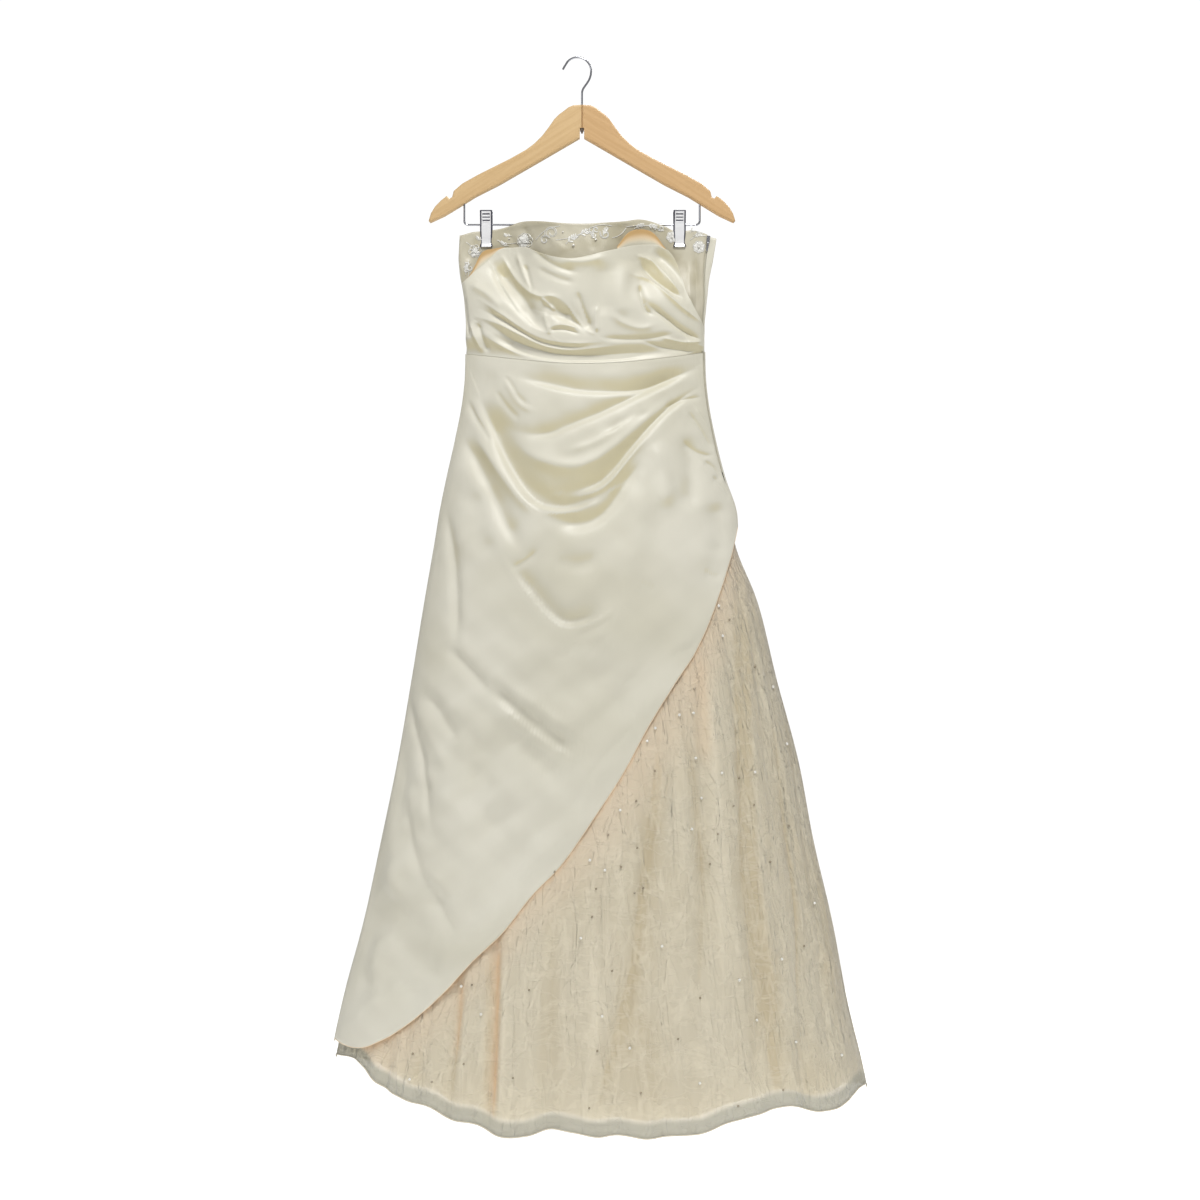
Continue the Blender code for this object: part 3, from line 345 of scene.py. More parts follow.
# Finer folds, read off the chart. Each has the widths of its two flanks in
# millimetres, its depth (positive stands out), how crisp its line is (1 crisp,
# 2 soft) and its run as steps across and down
FINE_SATIN_FOLDS = (
    # left flank, right flank, depth, crispness, run
    (17, 5, -5.5, 1.7, ((516, 376), (540, 381), (570, 388), (600, 391), (640, 389), (668, 379),
        (694, 368))),
    (12, 6, -6.0, 1.6, ((512, 429), (532, 435), (550, 433), (565, 426), (585, 418), (605, 410),
        (625, 400), (645, 391), (668, 380), (697, 368))),
    (12, 10, 4.6, 1.7, ((506, 432), (520, 447), (540, 461), (565, 468), (590, 464), (610, 451),
        (630, 434), (650, 416), (675, 399), (698, 384))),
    (31, 6, -11.5, 1.7, ((480, 398), (490, 424), (500, 448), (512, 470), (525, 490), (540, 503),
        (560, 507), (584, 504), (604, 493))),
    (22, 5, -7.5, 1.6, ((566, 491), (590, 487), (606, 478), (620, 462), (636, 442), (655, 420),
        (675, 402), (700, 386))),
    (4, 4, 3.0, 1.5, ((572, 496), (592, 493), (608, 484), (622, 467), (636, 449), (648, 436))),
    (12, 12, -6.5, 1.7, ((548, 517), (566, 523), (588, 523), (604, 513), (616, 498), (628, 480),
        (642, 458))),
    (5, 5, 4.0, 1.6, ((538, 509), (558, 513), (578, 509), (598, 501))),
    (17, 9, -7.5, 1.7, ((462, 434), (474, 459), (486, 482), (497, 507), (508, 530), (522, 553))),
    (7, 7, 3.6, 1.6, ((476, 436), (488, 455), (502, 476), (518, 497), (536, 516))),
    (4, 4, -2.8, 1.4, ((467, 400), (474, 416), (484, 431), (492, 446))),
    (3.5, 3.5, 2.0, 1.4, ((503, 375), (511, 391), (520, 405), (535, 412))),
    (3.5, 3.5, -2.2, 1.4, ((502, 374), (512, 386), (517, 397), (530, 407))),
    (3.5, 3.5, -1.8, 1.4, ((495, 390), (507, 408), (520, 420))),
    (6, 6, 1.8, 1.7, ((560, 452), (590, 446), (620, 428), (650, 405))),
    (7, 7, -2.0, 1.8, ((604, 432), (626, 420), (650, 410))),
    (3, 5, -2.6, 1.2, ((689, 410), (702, 430), (714, 452))),
    (3, 4, -2.4, 1.2, ((683, 440), (700, 454), (715, 456))),
    (3, 5, -2.6, 1.2, ((704, 460), (716, 468), (722, 482))),
    (3, 3, 1.8, 1.2, ((694, 404), (706, 424), (716, 446))),
    (3, 5, -2.4, 1.2, ((712, 475), (724, 486), (733, 500))),
    (3, 4, -2.4, 1.2, ((664, 408), (684, 399), (702, 397))),
    (14, 14, -3.6, 1.9, ((688, 430), (692, 480), (690, 512))),
    (12, 16, -3.0, 1.9, ((716, 500), (722, 530), (716, 560))),
    (12, 12, 3.0, 1.9, ((655, 440), (664, 470), (668, 510))),
    (18, 4.5, -8.0, 1.6, ((513, 568), (526, 584), (540, 602), (552, 615), (566, 624), (586, 620),
        (606, 613))),
    (3, 3, -2.6, 1.2, ((511, 568), (524, 562), (537, 551))),
    (4, 4, 2.4, 1.4, ((500, 556), (510, 571), (520, 584), (534, 601), (549, 618), (566, 629),
        (590, 624), (616, 611))),
    (12, 12, -2.8, 1.9, ((552, 560), (575, 566), (602, 559))),
    (2.5, 3, -1.7, 1.2, ((574, 636), (592, 629), (614, 618))),
    (2.5, 3, -1.6, 1.3, ((566, 645), (590, 643), (612, 640))),
    (2.5, 3, -1.5, 1.3, ((586, 651), (602, 647), (614, 649))),
    (2.5, 3, -1.1, 1.3, ((550, 656), (560, 658), (571, 655))),
    (8, 7, -4.6, 1.8, ((445, 506), (451, 540), (455, 590), (456, 644))),
    (5, 9, -4.6, 1.4, ((448, 648), (462, 660), (475, 675), (490, 692))),
    (8, 9, 3.2, 1.8, ((486, 670), (512, 691), (534, 707), (558, 723), (584, 742), (612, 762))),
    (9, 8, -5.4, 1.8, ((484, 684), (506, 701), (526, 717), (548, 733), (580, 756))),
    (8, 9, 3.4, 1.8, ((482, 696), (502, 712), (522, 728), (542, 745), (562, 756), (598, 772))),
    (9, 9, -2.6, 1.9, ((520, 742), (540, 762), (562, 782))),
    (30, 16, -3.2, 2.0, ((470, 760), (482, 800), (500, 840))),
    (26, 26, 3.0, 2.0, ((440, 760), (452, 820), (470, 870))),
    (30, 18, -3.4, 2.0, ((392, 930), (410, 960), (440, 975))),
    (24, 24, 3.0, 2.0, ((430, 900), (442, 940), (460, 960))),
    (22, 22, -3.0, 2.0, ((520, 800), (545, 835), (575, 850))),
    (20, 30, -2.8, 2.0, ((600, 660), (615, 700), (640, 730))),
    (8, 9, -4.8, 1.5, ((424, 692), (437, 708), (445, 722), (458, 742))),
    (9, 9, 2.4, 1.8, ((414, 706), (432, 738), (448, 772))),
    (6, 5, -4.2, 1.5, ((408, 690), (416, 735), (424, 775), (429, 812), (434, 836))),
    (9, 9, -3.0, 1.8, ((404, 742), (402, 790), (396, 830))),
    (5, 9, -3.8, 1.5, ((406, 800), (411, 842), (420, 872), (436, 897), (450, 922), (462, 944))),
    (7, 6, 2.8, 1.6, ((428, 868), (444, 886), (458, 906))),
    (4, 4, -1.8, 1.5, ((462, 872), (472, 888), (480, 900))),
    (12, 12, 2.8, 1.9, ((390, 800), (392, 860), (400, 910))),
    (14, 14, -3.4, 1.9, ((384, 850), (376, 900), (366, 960), (358, 1010))),
    (12, 12, 2.4, 1.9, ((378, 930), (372, 980), (380, 1010))),
    (14, 10, -2.4, 1.9, ((404, 985), (412, 1002), (414, 1016))),
    (2, 3, -1.2, 1.2, ((515, 855), (520, 872), (532, 890))),
    (2.5, 2.5, -1.2, 1.3, ((498, 732), (512, 718), (526, 706))),
    (2.5, 2.5, -1.1, 1.3, ((494, 742), (510, 745), (528, 734), (540, 722))),
    (2.5, 2.5, -1.2, 1.3, ((484, 772), (492, 788), (502, 778))),
    (2.5, 2.5, -1.0, 1.3, ((452, 770), (466, 784), (478, 774))),
    (3, 3, -1.3, 1.3, ((704, 570), (712, 576), (722, 576))),
    (3, 3, -1.2, 1.3, ((640, 582), (648, 586), (656, 590))),
    (3, 3, -1.4, 1.3, ((672, 652), (683, 650), (697, 645))),
    (3, 3, -1.2, 1.3, ((624, 681), (632, 677), (644, 670))),
    (3, 3, -1.0, 1.3, ((598, 760), (618, 742), (636, 727))),
    (3, 3, -0.9, 1.3, ((586, 778), (604, 757), (622, 742))),
    (20, 20, -3.0, 2.0, ((545, 760), (560, 780), (590, 800))),
    (22, 22, 2.6, 2.0, ((505, 790), (530, 830), (548, 850))),
    (18, 18, 2.6, 2.0, ((640, 480), (640, 540), (620, 600))),
    (16, 16, -2.4, 2.0, ((476, 486), (478, 530), (488, 560))),
)
FINE_DRAPE_FOLDS = (
    # left flank, right flank, depth, crispness, run
    (24, 5, -6.5, 1.7, ((490, 264), (503, 290), (517, 308), (532, 323), (549, 334))),
    (15, 5, -4.8, 1.6, ((549, 314), (565, 318), (580, 325), (594, 334))),
    (12, 6, -6.5, 1.6, ((487, 328), (505, 342), (525, 352), (550, 359), (580, 361), (620, 359),
        (660, 357), (697, 353))),
    (10, 12, -5.5, 1.8, ((650, 250), (668, 264), (681, 282), (691, 304))),
    (3.5, 4, 3.0, 1.4, ((488, 262), (505, 290), (520, 312), (538, 330), (553, 335))),
    (4, 4, 2.8, 1.5, ((480, 318), (500, 323), (522, 336), (545, 348), (575, 352), (620, 346))),
    (3.5, 3.5, 2.4, 1.5, ((482, 301), (500, 312), (520, 327), (540, 340), (568, 345), (600, 343))),
    (4, 5, -3.4, 1.5, ((484, 310), (502, 319), (524, 333), (545, 344), (585, 349))),
    (5, 6, -4.0, 1.6, ((486, 322), (505, 334), (530, 350), (560, 359), (610, 361), (650, 356))),
    (4, 4, 2.6, 1.5, ((490, 338), (508, 350), (530, 358), (560, 366))),
    (8, 8, -4.4, 1.7, ((497, 268), (512, 286), (526, 300), (536, 322))),
    (8, 8, -4.0, 1.7, ((545, 302), (560, 312), (572, 318))),
    (2.2, 2.2, 3.6, 1.3, ((543, 299), (549, 305), (556, 311))),
    (3, 4, -3.0, 1.4, ((528, 266), (531, 280), (535, 297))),
    (4, 4, 2.6, 1.5, ((520, 252), (524, 268), (530, 286), (538, 299))),
    (3.5, 3.5, 2.2, 1.5, ((500, 254), (510, 272), (522, 288), (538, 299), (556, 296), (566, 304))),
    (5, 5, -2.4, 1.6, ((536, 250), (548, 262), (562, 270), (580, 274))),
    (3, 4, -3.4, 1.4, ((577, 291), (583, 310), (592, 332))),
    (2.5, 2.5, 3.2, 1.3, ((597, 305), (595, 318), (597, 334))),
    (2.5, 2.5, 2.6, 1.3, ((566, 302), (574, 316), (585, 330), (597, 336))),
    (2.2, 2.2, 2.2, 1.3, ((551, 328), (562, 324), (579, 329))),
    (2.2, 2.6, -2.0, 1.3, ((548, 331), (564, 329), (582, 335))),
    (3, 3, 2.8, 1.3, ((545, 312), (547, 324), (552, 336))),
    (4, 4, 3.0, 1.4, ((640, 257), (660, 272), (672, 288), (681, 300))),
    (3, 3, 2.6, 1.4, ((632, 256), (650, 266), (664, 282))),
    (5, 6, -5.0, 1.6, ((636, 263), (650, 280), (668, 292), (682, 301))),
    (3.5, 3, -4.4, 1.2, ((637, 287), (640, 299), (645, 312), (653, 316))),
    (3, 6, -5.0, 1.2, ((645, 304), (662, 316), (680, 331), (699, 341))),
    (3, 3, 3.0, 1.4, ((627, 277), (650, 284), (671, 303), (699, 324))),
    (4, 4, -2.6, 1.5, ((600, 338), (625, 340), (650, 339), (672, 334))),
    (2.6, 2.6, -2.2, 1.3, ((640, 341), (668, 349), (697, 353))),
    (2.4, 2.4, 2.4, 1.3, ((660, 338), (682, 344), (700, 342))),
    (2.4, 2.4, 2.2, 1.3, ((676, 359), (688, 354), (700, 351))),
    (4, 4, -3.2, 1.6, ((466, 296), (468, 318), (474, 340))),
    (4, 4, -3.0, 1.5, ((480, 322), (484, 338), (489, 354))),
    (3.5, 3.5, 2.2, 1.5, ((473, 322), (478, 338), (484, 355))),
    (6, 6, 2.4, 1.7, ((470, 284), (480, 290), (492, 298), (506, 312))),
    (12, 12, 2.8, 2.0, ((625, 262), (618, 290), (622, 320))),
    (12, 12, -2.6, 2.0, ((603, 262), (602, 290), (604, 318))),
    (6, 6, 2.0, 1.8, ((560, 262), (585, 264), (606, 258))),
    (5, 5, -1.6, 1.8, ((540, 270), (560, 280), (576, 284))),
    (5, 5, 1.8, 1.7, ((655, 324), (640, 330), (618, 322), (610, 312))),
)
BODICE_FOLDS = (
    # left flank, right flank, depth, crispness, run
    (5, 5, 2.6, 1.6, ((684, 256), (687, 280), (691, 306))),
    (4, 4, -2.6, 1.5, ((695, 256), (697, 285), (697, 315))),
    (4, 4, -2.0, 1.5, ((679, 250), (681, 275), (683, 296))),
    (3, 3, 1.4, 1.4, ((545, 232), (556, 243), (567, 252))),
    (4, 4, -1.6, 1.5, ((588, 226), (592, 238), (593, 252))),
    (4, 4, -1.8, 1.5, ((505, 229), (512, 240), (517, 249))),
    (5, 5, -2.0, 1.6, ((466, 262), (474, 250), (480, 240))),
    (5, 5, 1.8, 1.6, ((462, 276), (468, 262), (474, 248))),
    (7, 7, -2.2, 1.8, ((618, 224), (624, 234), (622, 246))),
    (6, 6, -2.0, 1.8, ((522, 224), (527, 236), (530, 248))),
)
FINE_ORGANZA_FOLDS = (
    # left flank, right flank, depth, crispness, run
    (3, 7, -5.0, 1.3, ((496, 930), (494, 1000), (493, 1060), (488, 1128))),
    (4, 4, 4.0, 1.4, ((503, 935), (501, 1010), (500, 1130))),
    (3, 6, -3.6, 1.3, ((462, 975), (456, 1040), (446, 1110))),
    (3, 8, -4.6, 1.3, ((660, 715), (655, 780), (648, 860), (638, 920), (635, 975), (620, 1020),
        (612, 1060), (594, 1112))),
    (4, 4, 3.4, 1.5, ((668, 715), (662, 790), (655, 870), (645, 930), (640, 985), (624, 1040))),
    (3, 5, -3.0, 1.4, ((700, 690), (702, 780), (707, 860), (702, 940), (698, 1010))),
    (5, 5, -3.0, 1.6, ((690, 740), (694, 790), (702, 850), (709, 900))),
    (7, 7, 3.6, 1.8, ((706, 640), (714, 740), (718, 830), (722, 930), (726, 1060))),
    (4, 8, -4.6, 1.4, ((724, 620), (734, 700), (743, 770), (743, 840), (752, 900), (764, 1000),
        (778, 1105))),
    (5, 5, 3.0, 1.6, ((752, 680), (756, 780), (760, 860), (768, 940), (780, 1060))),
    (3, 5, -3.0, 1.3, ((770, 700), (778, 760), (788, 840), (797, 900), (801, 960), (801, 1040))),
    (3, 4, 2.6, 1.4, ((764, 700), (782, 790), (796, 870), (808, 940), (810, 1030))),
    (4, 6, -3.6, 1.4, ((780, 690), (796, 770), (806, 850), (820, 940), (824, 1010), (840, 1090))),
    (5, 5, 2.8, 1.6, ((790, 720), (806, 800), (820, 880), (832, 960), (840, 1040))),
    (3, 3, -2.2, 1.3, ((832, 1010), (838, 1050), (846, 1086))),
    (4, 4, -2.6, 1.5, ((600, 860), (602, 940), (604, 1010))),
    (6, 6, 2.6, 1.7, ((580, 880), (584, 960), (590, 1060), (580, 1120))),
    (6, 6, -2.6, 1.7, ((545, 890), (550, 970), (548, 1060), (540, 1125))),
    (6, 6, 2.4, 1.8, ((522, 925), (524, 1000), (524, 1120))),
    (5, 5, -2.4, 1.6, ((672, 700), (676, 800), (672, 900), (670, 1010), (664, 1120))),
    (6, 6, 2.2, 1.8, ((684, 690), (686, 800), (686, 920), (684, 1050))),
    (4, 4, -2.2, 1.5, ((476, 960), (474, 1040), (470, 1118))),
    (5, 5, -2.6, 1.6, ((430, 1010), (424, 1060), (418, 1100))),
    (5, 5, 2.4, 1.6, ((414, 1024), (408, 1060), (404, 1098))),
    (4, 4, -2.4, 1.5, ((392, 1040), (388, 1064), (384, 1088))),
    (4, 4, 2.2, 1.5, ((742, 560), (748, 620), (752, 680))),
    (3, 3, -2.2, 1.4, ((738, 560), (742, 640), (748, 720))),
    (3, 3, -2.2, 1.4, ((746, 600), (758, 680), (768, 760), (776, 850))),
    (4, 4, 2.0, 1.5, ((752, 620), (770, 720), (786, 800))),
    (7, 7, -2.6, 1.7, ((712, 1040), (716, 1080), (714, 1120))),
    (7, 7, 2.4, 1.7, ((640, 1060), (636, 1100), (632, 1135))),
)

# Tones of the sheer cloth: deeper where it lies double, partly painted shade, and a painted
# highlight where it catches the light. The runs go down the skirt, so the first flank lies on their
# right
SHEER_TONES = (
    # right flank, left flank, tone (negative is deeper), crispness, run
    (24, 3, -0.8, 1.5, ((659, 715), (656, 780), (648, 850), (640, 900), (636, 960), (622, 1010),
        (610, 1060), (592, 1125))),
    (3, 3, -0.9, 1.5, ((659, 715), (656, 780), (648, 850), (640, 900), (636, 960), (622, 1010),
        (610, 1060), (592, 1125))),
    (3, 14, -1.0, 1.5, ((496, 925), (496, 1000), (493, 1060), (489, 1135))),
    (7, 3, 1.1, 1.5, ((503, 930), (503, 1000), (501, 1060), (498, 1135))),
    (12, 16, 0.9, 1.8, ((706, 630), (714, 740), (722, 830), (724, 900), (728, 1000))),
    (22, 5, -1.5, 1.7, ((733, 560), (737, 640), (741, 720), (742, 800), (744, 860), (752, 920),
        (760, 1000), (774, 1100))),
    (4, 9, -0.8, 1.6, ((688, 735), (695, 780), (701, 820), (703, 890))),
    (3, 4, -0.6, 1.5, ((703, 830), (706, 880), (702, 940), (700, 1000))),
    (5, 5, 0.8, 1.6, ((752, 690), (757, 780), (762, 860), (770, 940))),
    (3, 4, -1.0, 1.5, ((770, 700), (778, 760), (788, 840), (797, 900), (801, 960), (801, 1040))),
    (3, 3, -0.8, 1.5, ((782, 700), (796, 780), (806, 860), (818, 940))),
    (4, 4, 0.7, 1.5, ((790, 740), (802, 810), (812, 880), (824, 960))),
    (30, 12, -0.6, 1.9, ((790, 700), (815, 850), (836, 1040))),
    (10, 10, 0.8, 1.7, ((586, 930), (596, 985), (597, 1030), (588, 1095))),
    (24, 24, -0.45, 2.0, ((640, 1000), (650, 1060), (650, 1120))),
    (3, 26, 0.7, 1.6, ((757, 950), (763, 1010), (770, 1060), (777, 1105))),
    (18, 3, -0.8, 1.6, ((759, 950), (765, 1010), (772, 1060), (779, 1105))),
    (3, 9, -0.8, 1.5, ((463, 975), (457, 1040), (448, 1110))),
    (9, 3, 0.9, 1.5, ((468, 975), (463, 1040), (454, 1110))),
    (10, 10, 0.5, 1.8, ((520, 930), (524, 1000), (522, 1080))),
    (14, 14, -0.4, 1.9, ((548, 900), (552, 980), (548, 1080))),
    (8, 8, 0.5, 1.8, ((614, 830), (622, 900), (618, 960))),
    (9, 9, 0.5, 1.8, ((672, 720), (676, 800), (668, 900), (664, 990))),
    (6, 6, -0.5, 1.7, ((424, 1015), (418, 1060), (410, 1100))),
    (6, 6, 0.5, 1.7, ((404, 1030), (398, 1064), (394, 1092))),
)

# Folds of the sheer skirt with the peach lining close behind
PEACH_FOLDS = (
    # right flank, left flank, share of peach, crispness, run
    (3, 6, 1.0, 1.4, ((497, 928), (497, 1000), (495, 1060), (492, 1128))),
    (3, 5, 0.7, 1.4, ((462, 972), (459, 1020), (455, 1062))),
    (8, 14, 0.30, 1.7, ((700, 650), (704, 700), (708, 770))),
)

# Beads on the sheer skirt, read off the chart; the last value is 1 for a pearl
# and 0 for a dark faceted bead
BEADS = (
    # across, down, pearl
    (718, 606, 1), (729, 620, 0), (722, 636, 1), (755, 667, 0), (694, 689, 0), (772, 687, 1),
    (679, 715, 1), (693, 713, 1), (655, 728, 1), (647, 741, 1), (695, 758, 1), (755, 772, 1),
    (786, 744, 1), (721, 773, 1), (655, 771, 0), (739, 778, 0), (702, 798, 1), (733, 806, 0),
    (754, 805, 0), (636, 801, 0), (620, 810, 1), (691, 829, 1), (608, 835, 0), (718, 834, 0),
    (788, 826, 0), (637, 848, 0), (710, 864, 0), (590, 860, 1), (605, 870, 1), (621, 867, 0),
    (770, 862, 0), (555, 872, 0), (596, 889, 0), (643, 888, 0), (634, 893, 0), (814, 903, 1),
    (592, 917, 0), (581, 938, 1), (662, 946, 1), (804, 946, 0), (781, 959, 1), (612, 971, 0),
    (739, 980, 1), (462, 986, 1), (472, 985, 0), (529, 990, 0), (700, 998, 0), (481, 1014, 1),
    (602, 1016, 1), (756, 1020, 1), (678, 1039, 0), (795, 1042, 1), (630, 1048, 1),
    (597, 1051, 0), (413, 1054, 0), (841, 1055, 1), (464, 1064, 0), (513, 1078, 0),
    (410, 1079, 1), (432, 1082, 0), (700, 1083, 1), (783, 1090, 0), (641, 1093, 0),
    (738, 1106, 0), (589, 1108, 0),
)

# Beads scattered behind: how many are tried, and between which heights and sides
BACK_BEADS = 90
BACK_BEADS_Z = (-1480.0, -700.0)
BACK_BEADS_X = (-330.0, 380.0)
SAME_PLACE = 0.5

# Embroidery along the bodice's top, charted in steps across and down
FLOWERS = (
    # across, down, radius in millimetres, petals, netted centre
    (525, 241, 11, 8, True),
    (672, 237, 8, 6, False),
    (699, 247, 8.5, 7, False),
    (475, 251, 9, 6, True),
)
LEAVES = (
    # across, down, length in millimetres, heading and spread in degrees
    (509, 246, 13, 150, 40),
    (512, 236, 12, 165, 38),
    (566, 244, 20, 35, 42),
    (578, 236, 20, 20, 42),
    (597, 240, 15, 120, 40),
    (603, 236, 14, 60, 40),
    (634, 229, 16, 20, 36),
    (646, 225.5, 16, -12, 36),
    (690, 233, 14, 40, 40),
    (693, 236, 14, 5, 40),
    (469, 260, 13, -120, 40),
    (478, 262, 13, -95, 40),
    (466, 275, 12, 80, 40),
    (483, 240, 11, 150, 40),
)
SCROLLS = (
    # across, down, radius in millimetres, start in degrees, turns
    (552, 233, 11, 200, -1.15),
    (545, 240, 8, 20, 1.1),
    (605, 234, 8, 150, 1.2),
    (596, 229, 5, 300, -1),
    (661, 228, 5, 200, 1.1),
    (699, 231, 5, 180, -1),
    (470, 268, 6, 90, 1.1),
)
STEMS = (
    # start, end, bow in millimetres
    ((536, 240), (560, 226), 5),
    ((556, 240), (590, 228), -4),
    ((590, 228), (612, 226), 3),
    ((612, 238), (626, 228), -3),
    ((626, 227), (664, 231), 5),
    ((497, 240), (516, 243), -3),
    ((466, 242), (480, 262), 4),
    ((465, 262), (468, 280), 3),
    ((690, 240), (706, 236), 3),
)
BODICE_PEARLS = (
    # across, down, radius in millimetres
    (573.5, 245.5, 2.0),
    (596.0, 239.5, 1.6),
    (563.0, 232.0, 1.2),
    (640.0, 231.0, 1.2),
    (655.0, 229.5, 1.2),
    (509.0, 239.0, 1.2),
    (486.0, 258.0, 1.2),
)

# Petals and net as shares of a flower's radius, leaflets along their stem
PETAL_OUT = 0.62
PETAL_LOOP = 0.42
NET_REACH = 0.34
NET_STEP = 0.17
STITCH_HEIGHT = 0.8
LEAF_PLACES = (0.3, 0.5, 0.7, 0.88)

# Zip coil
ZIP_END = -600.0
ZIP_HALF_WIDTH = 1.3
ZIP_TEETH = 255
TOOTH_PITCH = 1.3
TOOTH_HALF = (1.5, 0.55, 0.55)
TOOTH_LIFT = 0.25
SLIDER_FOOT = -267.0

# How far the overskirt's hem thread sits behind and below its edge
HEM_TUCK = (0.0, 0.6, -0.4)

# Hanger wires and clips
WIRE_RADIUS = 1.5
HOOK_RADIUS = 19.7
BAR_Z = -241.5
BAR_HALF = 170.7
BAR_BEND = 6.0
LEG_TOP = -203.0
CLIP_X = (-132.2, 147.9)
CLIP_HALF = 9.0
CLIP_TOP = -221.3
CLIP_FOOT = -274.2
CLIP_RIM = 1.1
RIB_PITCH = 4.4
# Clip colours are painted light: a painted reflection on the face, painted shade on the rims and rib
# grooves
CLIP_LIT_FACE = (0.97, 0.97, 0.98)
CLIP_SHADED_RIM = (0.06, 0.06, 0.085)
CLIP_COLUMNS = 28
CLIP_ROWS = 150
RED_WOOD = (0.95, 0.88, 0.83)
ARM_LEAN = 32.0
STEM_END = -108.9
HOOK_TIP = ((-21.2, -16.1), (-18.6, -11.4))
HOOK_ARC = (138.0, -8.0)
HOOK_NECK = (
    # z, x
    (-22.4, 19.6),
    (-25.8, 18.7),
    (-30.6, 17.0),
    (-35.4, 14.2),
    (-40.0, 10.9),
    (-44.4, 8.1),
    (-48.2, 6.8),
    (-52.0, HANGER_X),
)
CLIP_PROFILE = (
    # z, forward
    (-220.0, 9.0),
    (-221.5, 8.9),
    (-230.0, 6.1),
    (-238.0, 4.4),
    (-245.0, 4.3),
    (-256.0, 3.8),
    (-271.0, 3.8),
    (-274.0, 5.1),
    (-276.0, 5.1),
)

# Stage: the picture's side in steps of the chart, the camera's sensor, the
# floor's height, the strength of the surrounding light, and the lamps
PICTURE_SIDE = 1200
SENSOR = 36.0
WHITE = (1.0, 1.0, 1.0, 1.0)
FLOOR_Z = -1760.0
FLOOR_RADIUS = 2300.0
WORLD_LIGHT = 0.30
BACKGROUND = 1.05
STAGE_GLOW = 0.60
LIGHTS = (
    # name, watts, width, place, aim, in metres
    ("key_light", 66.0, 0.7, (0.5, -1.7, 1.9), (0.0, 0.0, -0.8)),
    ("fill_light", 10.0, 1.2, (-2.4, -2.0, 0.2), (0.0, 0.0, -0.9)),
    ("back_light", 34.0, 1.2, (0.7, 2.2, 1.3), (0.0, 0.0, -0.9)),
)


def ease(value, start, end):
    """Rise softly from 0 at start to 1 at end."""
    share = np.clip((np.asarray(value, float) - start) / (end - start), 0.0, 1.0)
    return share * share * (3.0 - 2.0 * share)


def smooth_column(rows, column, at):
    """Read one column of a table as a smooth curve over its first column."""
    keys = np.array([row[0] for row in rows], float)
    values = np.array([row[column] for row in rows], float)
    if keys[0] > keys[-1]:
        keys = keys[::-1]
        values = values[::-1]
    slopes = np.gradient(values, keys)
    at = np.clip(np.asarray(at, float), keys[0], keys[-1])
    index = np.clip(np.searchsorted(keys, at) - 1, 0, len(keys) - 2)
    width = keys[index + 1] - keys[index]
    s = (at - keys[index]) / width
    return ((1 + 2 * s) * (1 - s) ** 2 * values[index]
            + s * (1 - s) ** 2 * width * slopes[index]
            + s * s * (3 - 2 * s) * values[index + 1]
            + s * s * (s - 1) * width * slopes[index + 1])


def clip_pinch(x, z):
    """Share by which the clips press front and back together."""
    across = ease(np.abs(x - HANGER_X), 26.0, 113.0)
    outboard = 1.0 - 0.22 * ease(np.abs(x - HANGER_X), 156.0, 180.0)
    down = 1.0 - ease(-z, 286.0, 372.0)
    return CLIP_PINCH * across * outboard * down


def flat_half(z):
    """Half the thickness of the flattened sides, thicker where more layers meet."""
    below_waist = FLAT_HALF + SKIRT_FLAT * ease(-z, 330.0, 422.0)
    return below_waist + BAR_ROOM * ease(z, -250.0, -245.0)


def section(turn, z, skin=(0.0, 0.0)):
    """Point of the dress's form at an angle round it and a height.

    The skin says how far a layer lies inside the form, across and in depth.
    """
    left = smooth_column(SECTIONS, 1, z)
    right = smooth_column(SECTIONS, 2, z)
    point = smooth_column(SECTIONS, 5, z)
    cosine = np.cos(turn)
    depth = np.where(cosine > 0.0, smooth_column(SECTIONS, 3, z), smooth_column(SECTIONS, 4, z))
    x = (left + right) / 2 + ((right - left) / 2 - skin[0]) * np.sin(turn)
    bulge = depth * np.abs(cosine) ** point * (1.0 - clip_pinch(x, z))
    flat = (flat_half(z) - skin[1]) * np.minimum(1.0, np.abs(cosine) / TIP_SHARE)
    y = -np.sign(cosine) * (bulge + flat)
    return np.stack([x, y, np.asarray(z, float) + 0.0 * x], axis=-1)


def outward(turn, z):
    """Outward direction of the form, from two small steps along it."""
    step_turn = 0.012
    step_z = 3.0
    along = section(turn + step_turn, z) - section(turn - step_turn, z)
    up = section(turn, z + step_z) - section(turn, z - step_z)
    normal = np.cross(along, up)
    return normal / np.linalg.norm(normal, axis=-1, keepdims=True)


def seen(point):
    """Where a point shows from the front, on the plane of the side seams."""
    scale = VIEW_DISTANCE / (VIEW_DISTANCE + point[..., 1])
    return VIEW_X + (point[..., 0] - VIEW_X) * scale, VIEW_Z + (point[..., 2] - VIEW_Z) * scale


def unseen(point):
    """The same for the hidden back, straight on."""
    return point[..., 0], point[..., 2]


def edge_height(turn_at, edge, view, skin, low=-1620.0, high=-200.0):
    """Height at which each column of a panel meets an edge of the table."""
    low = np.full(turn_at(high).shape, low)
    high = np.full(low.shape, high)
    for _ in range(40):
        middle = (low + high) / 2
        x, z = view(section(turn_at(middle), middle, skin(middle)))
        above = z > smooth_column(edge, 1, x)
        high = np.where(above, middle, high)
        low = np.where(above, low, middle)
    return (low + high) / 2


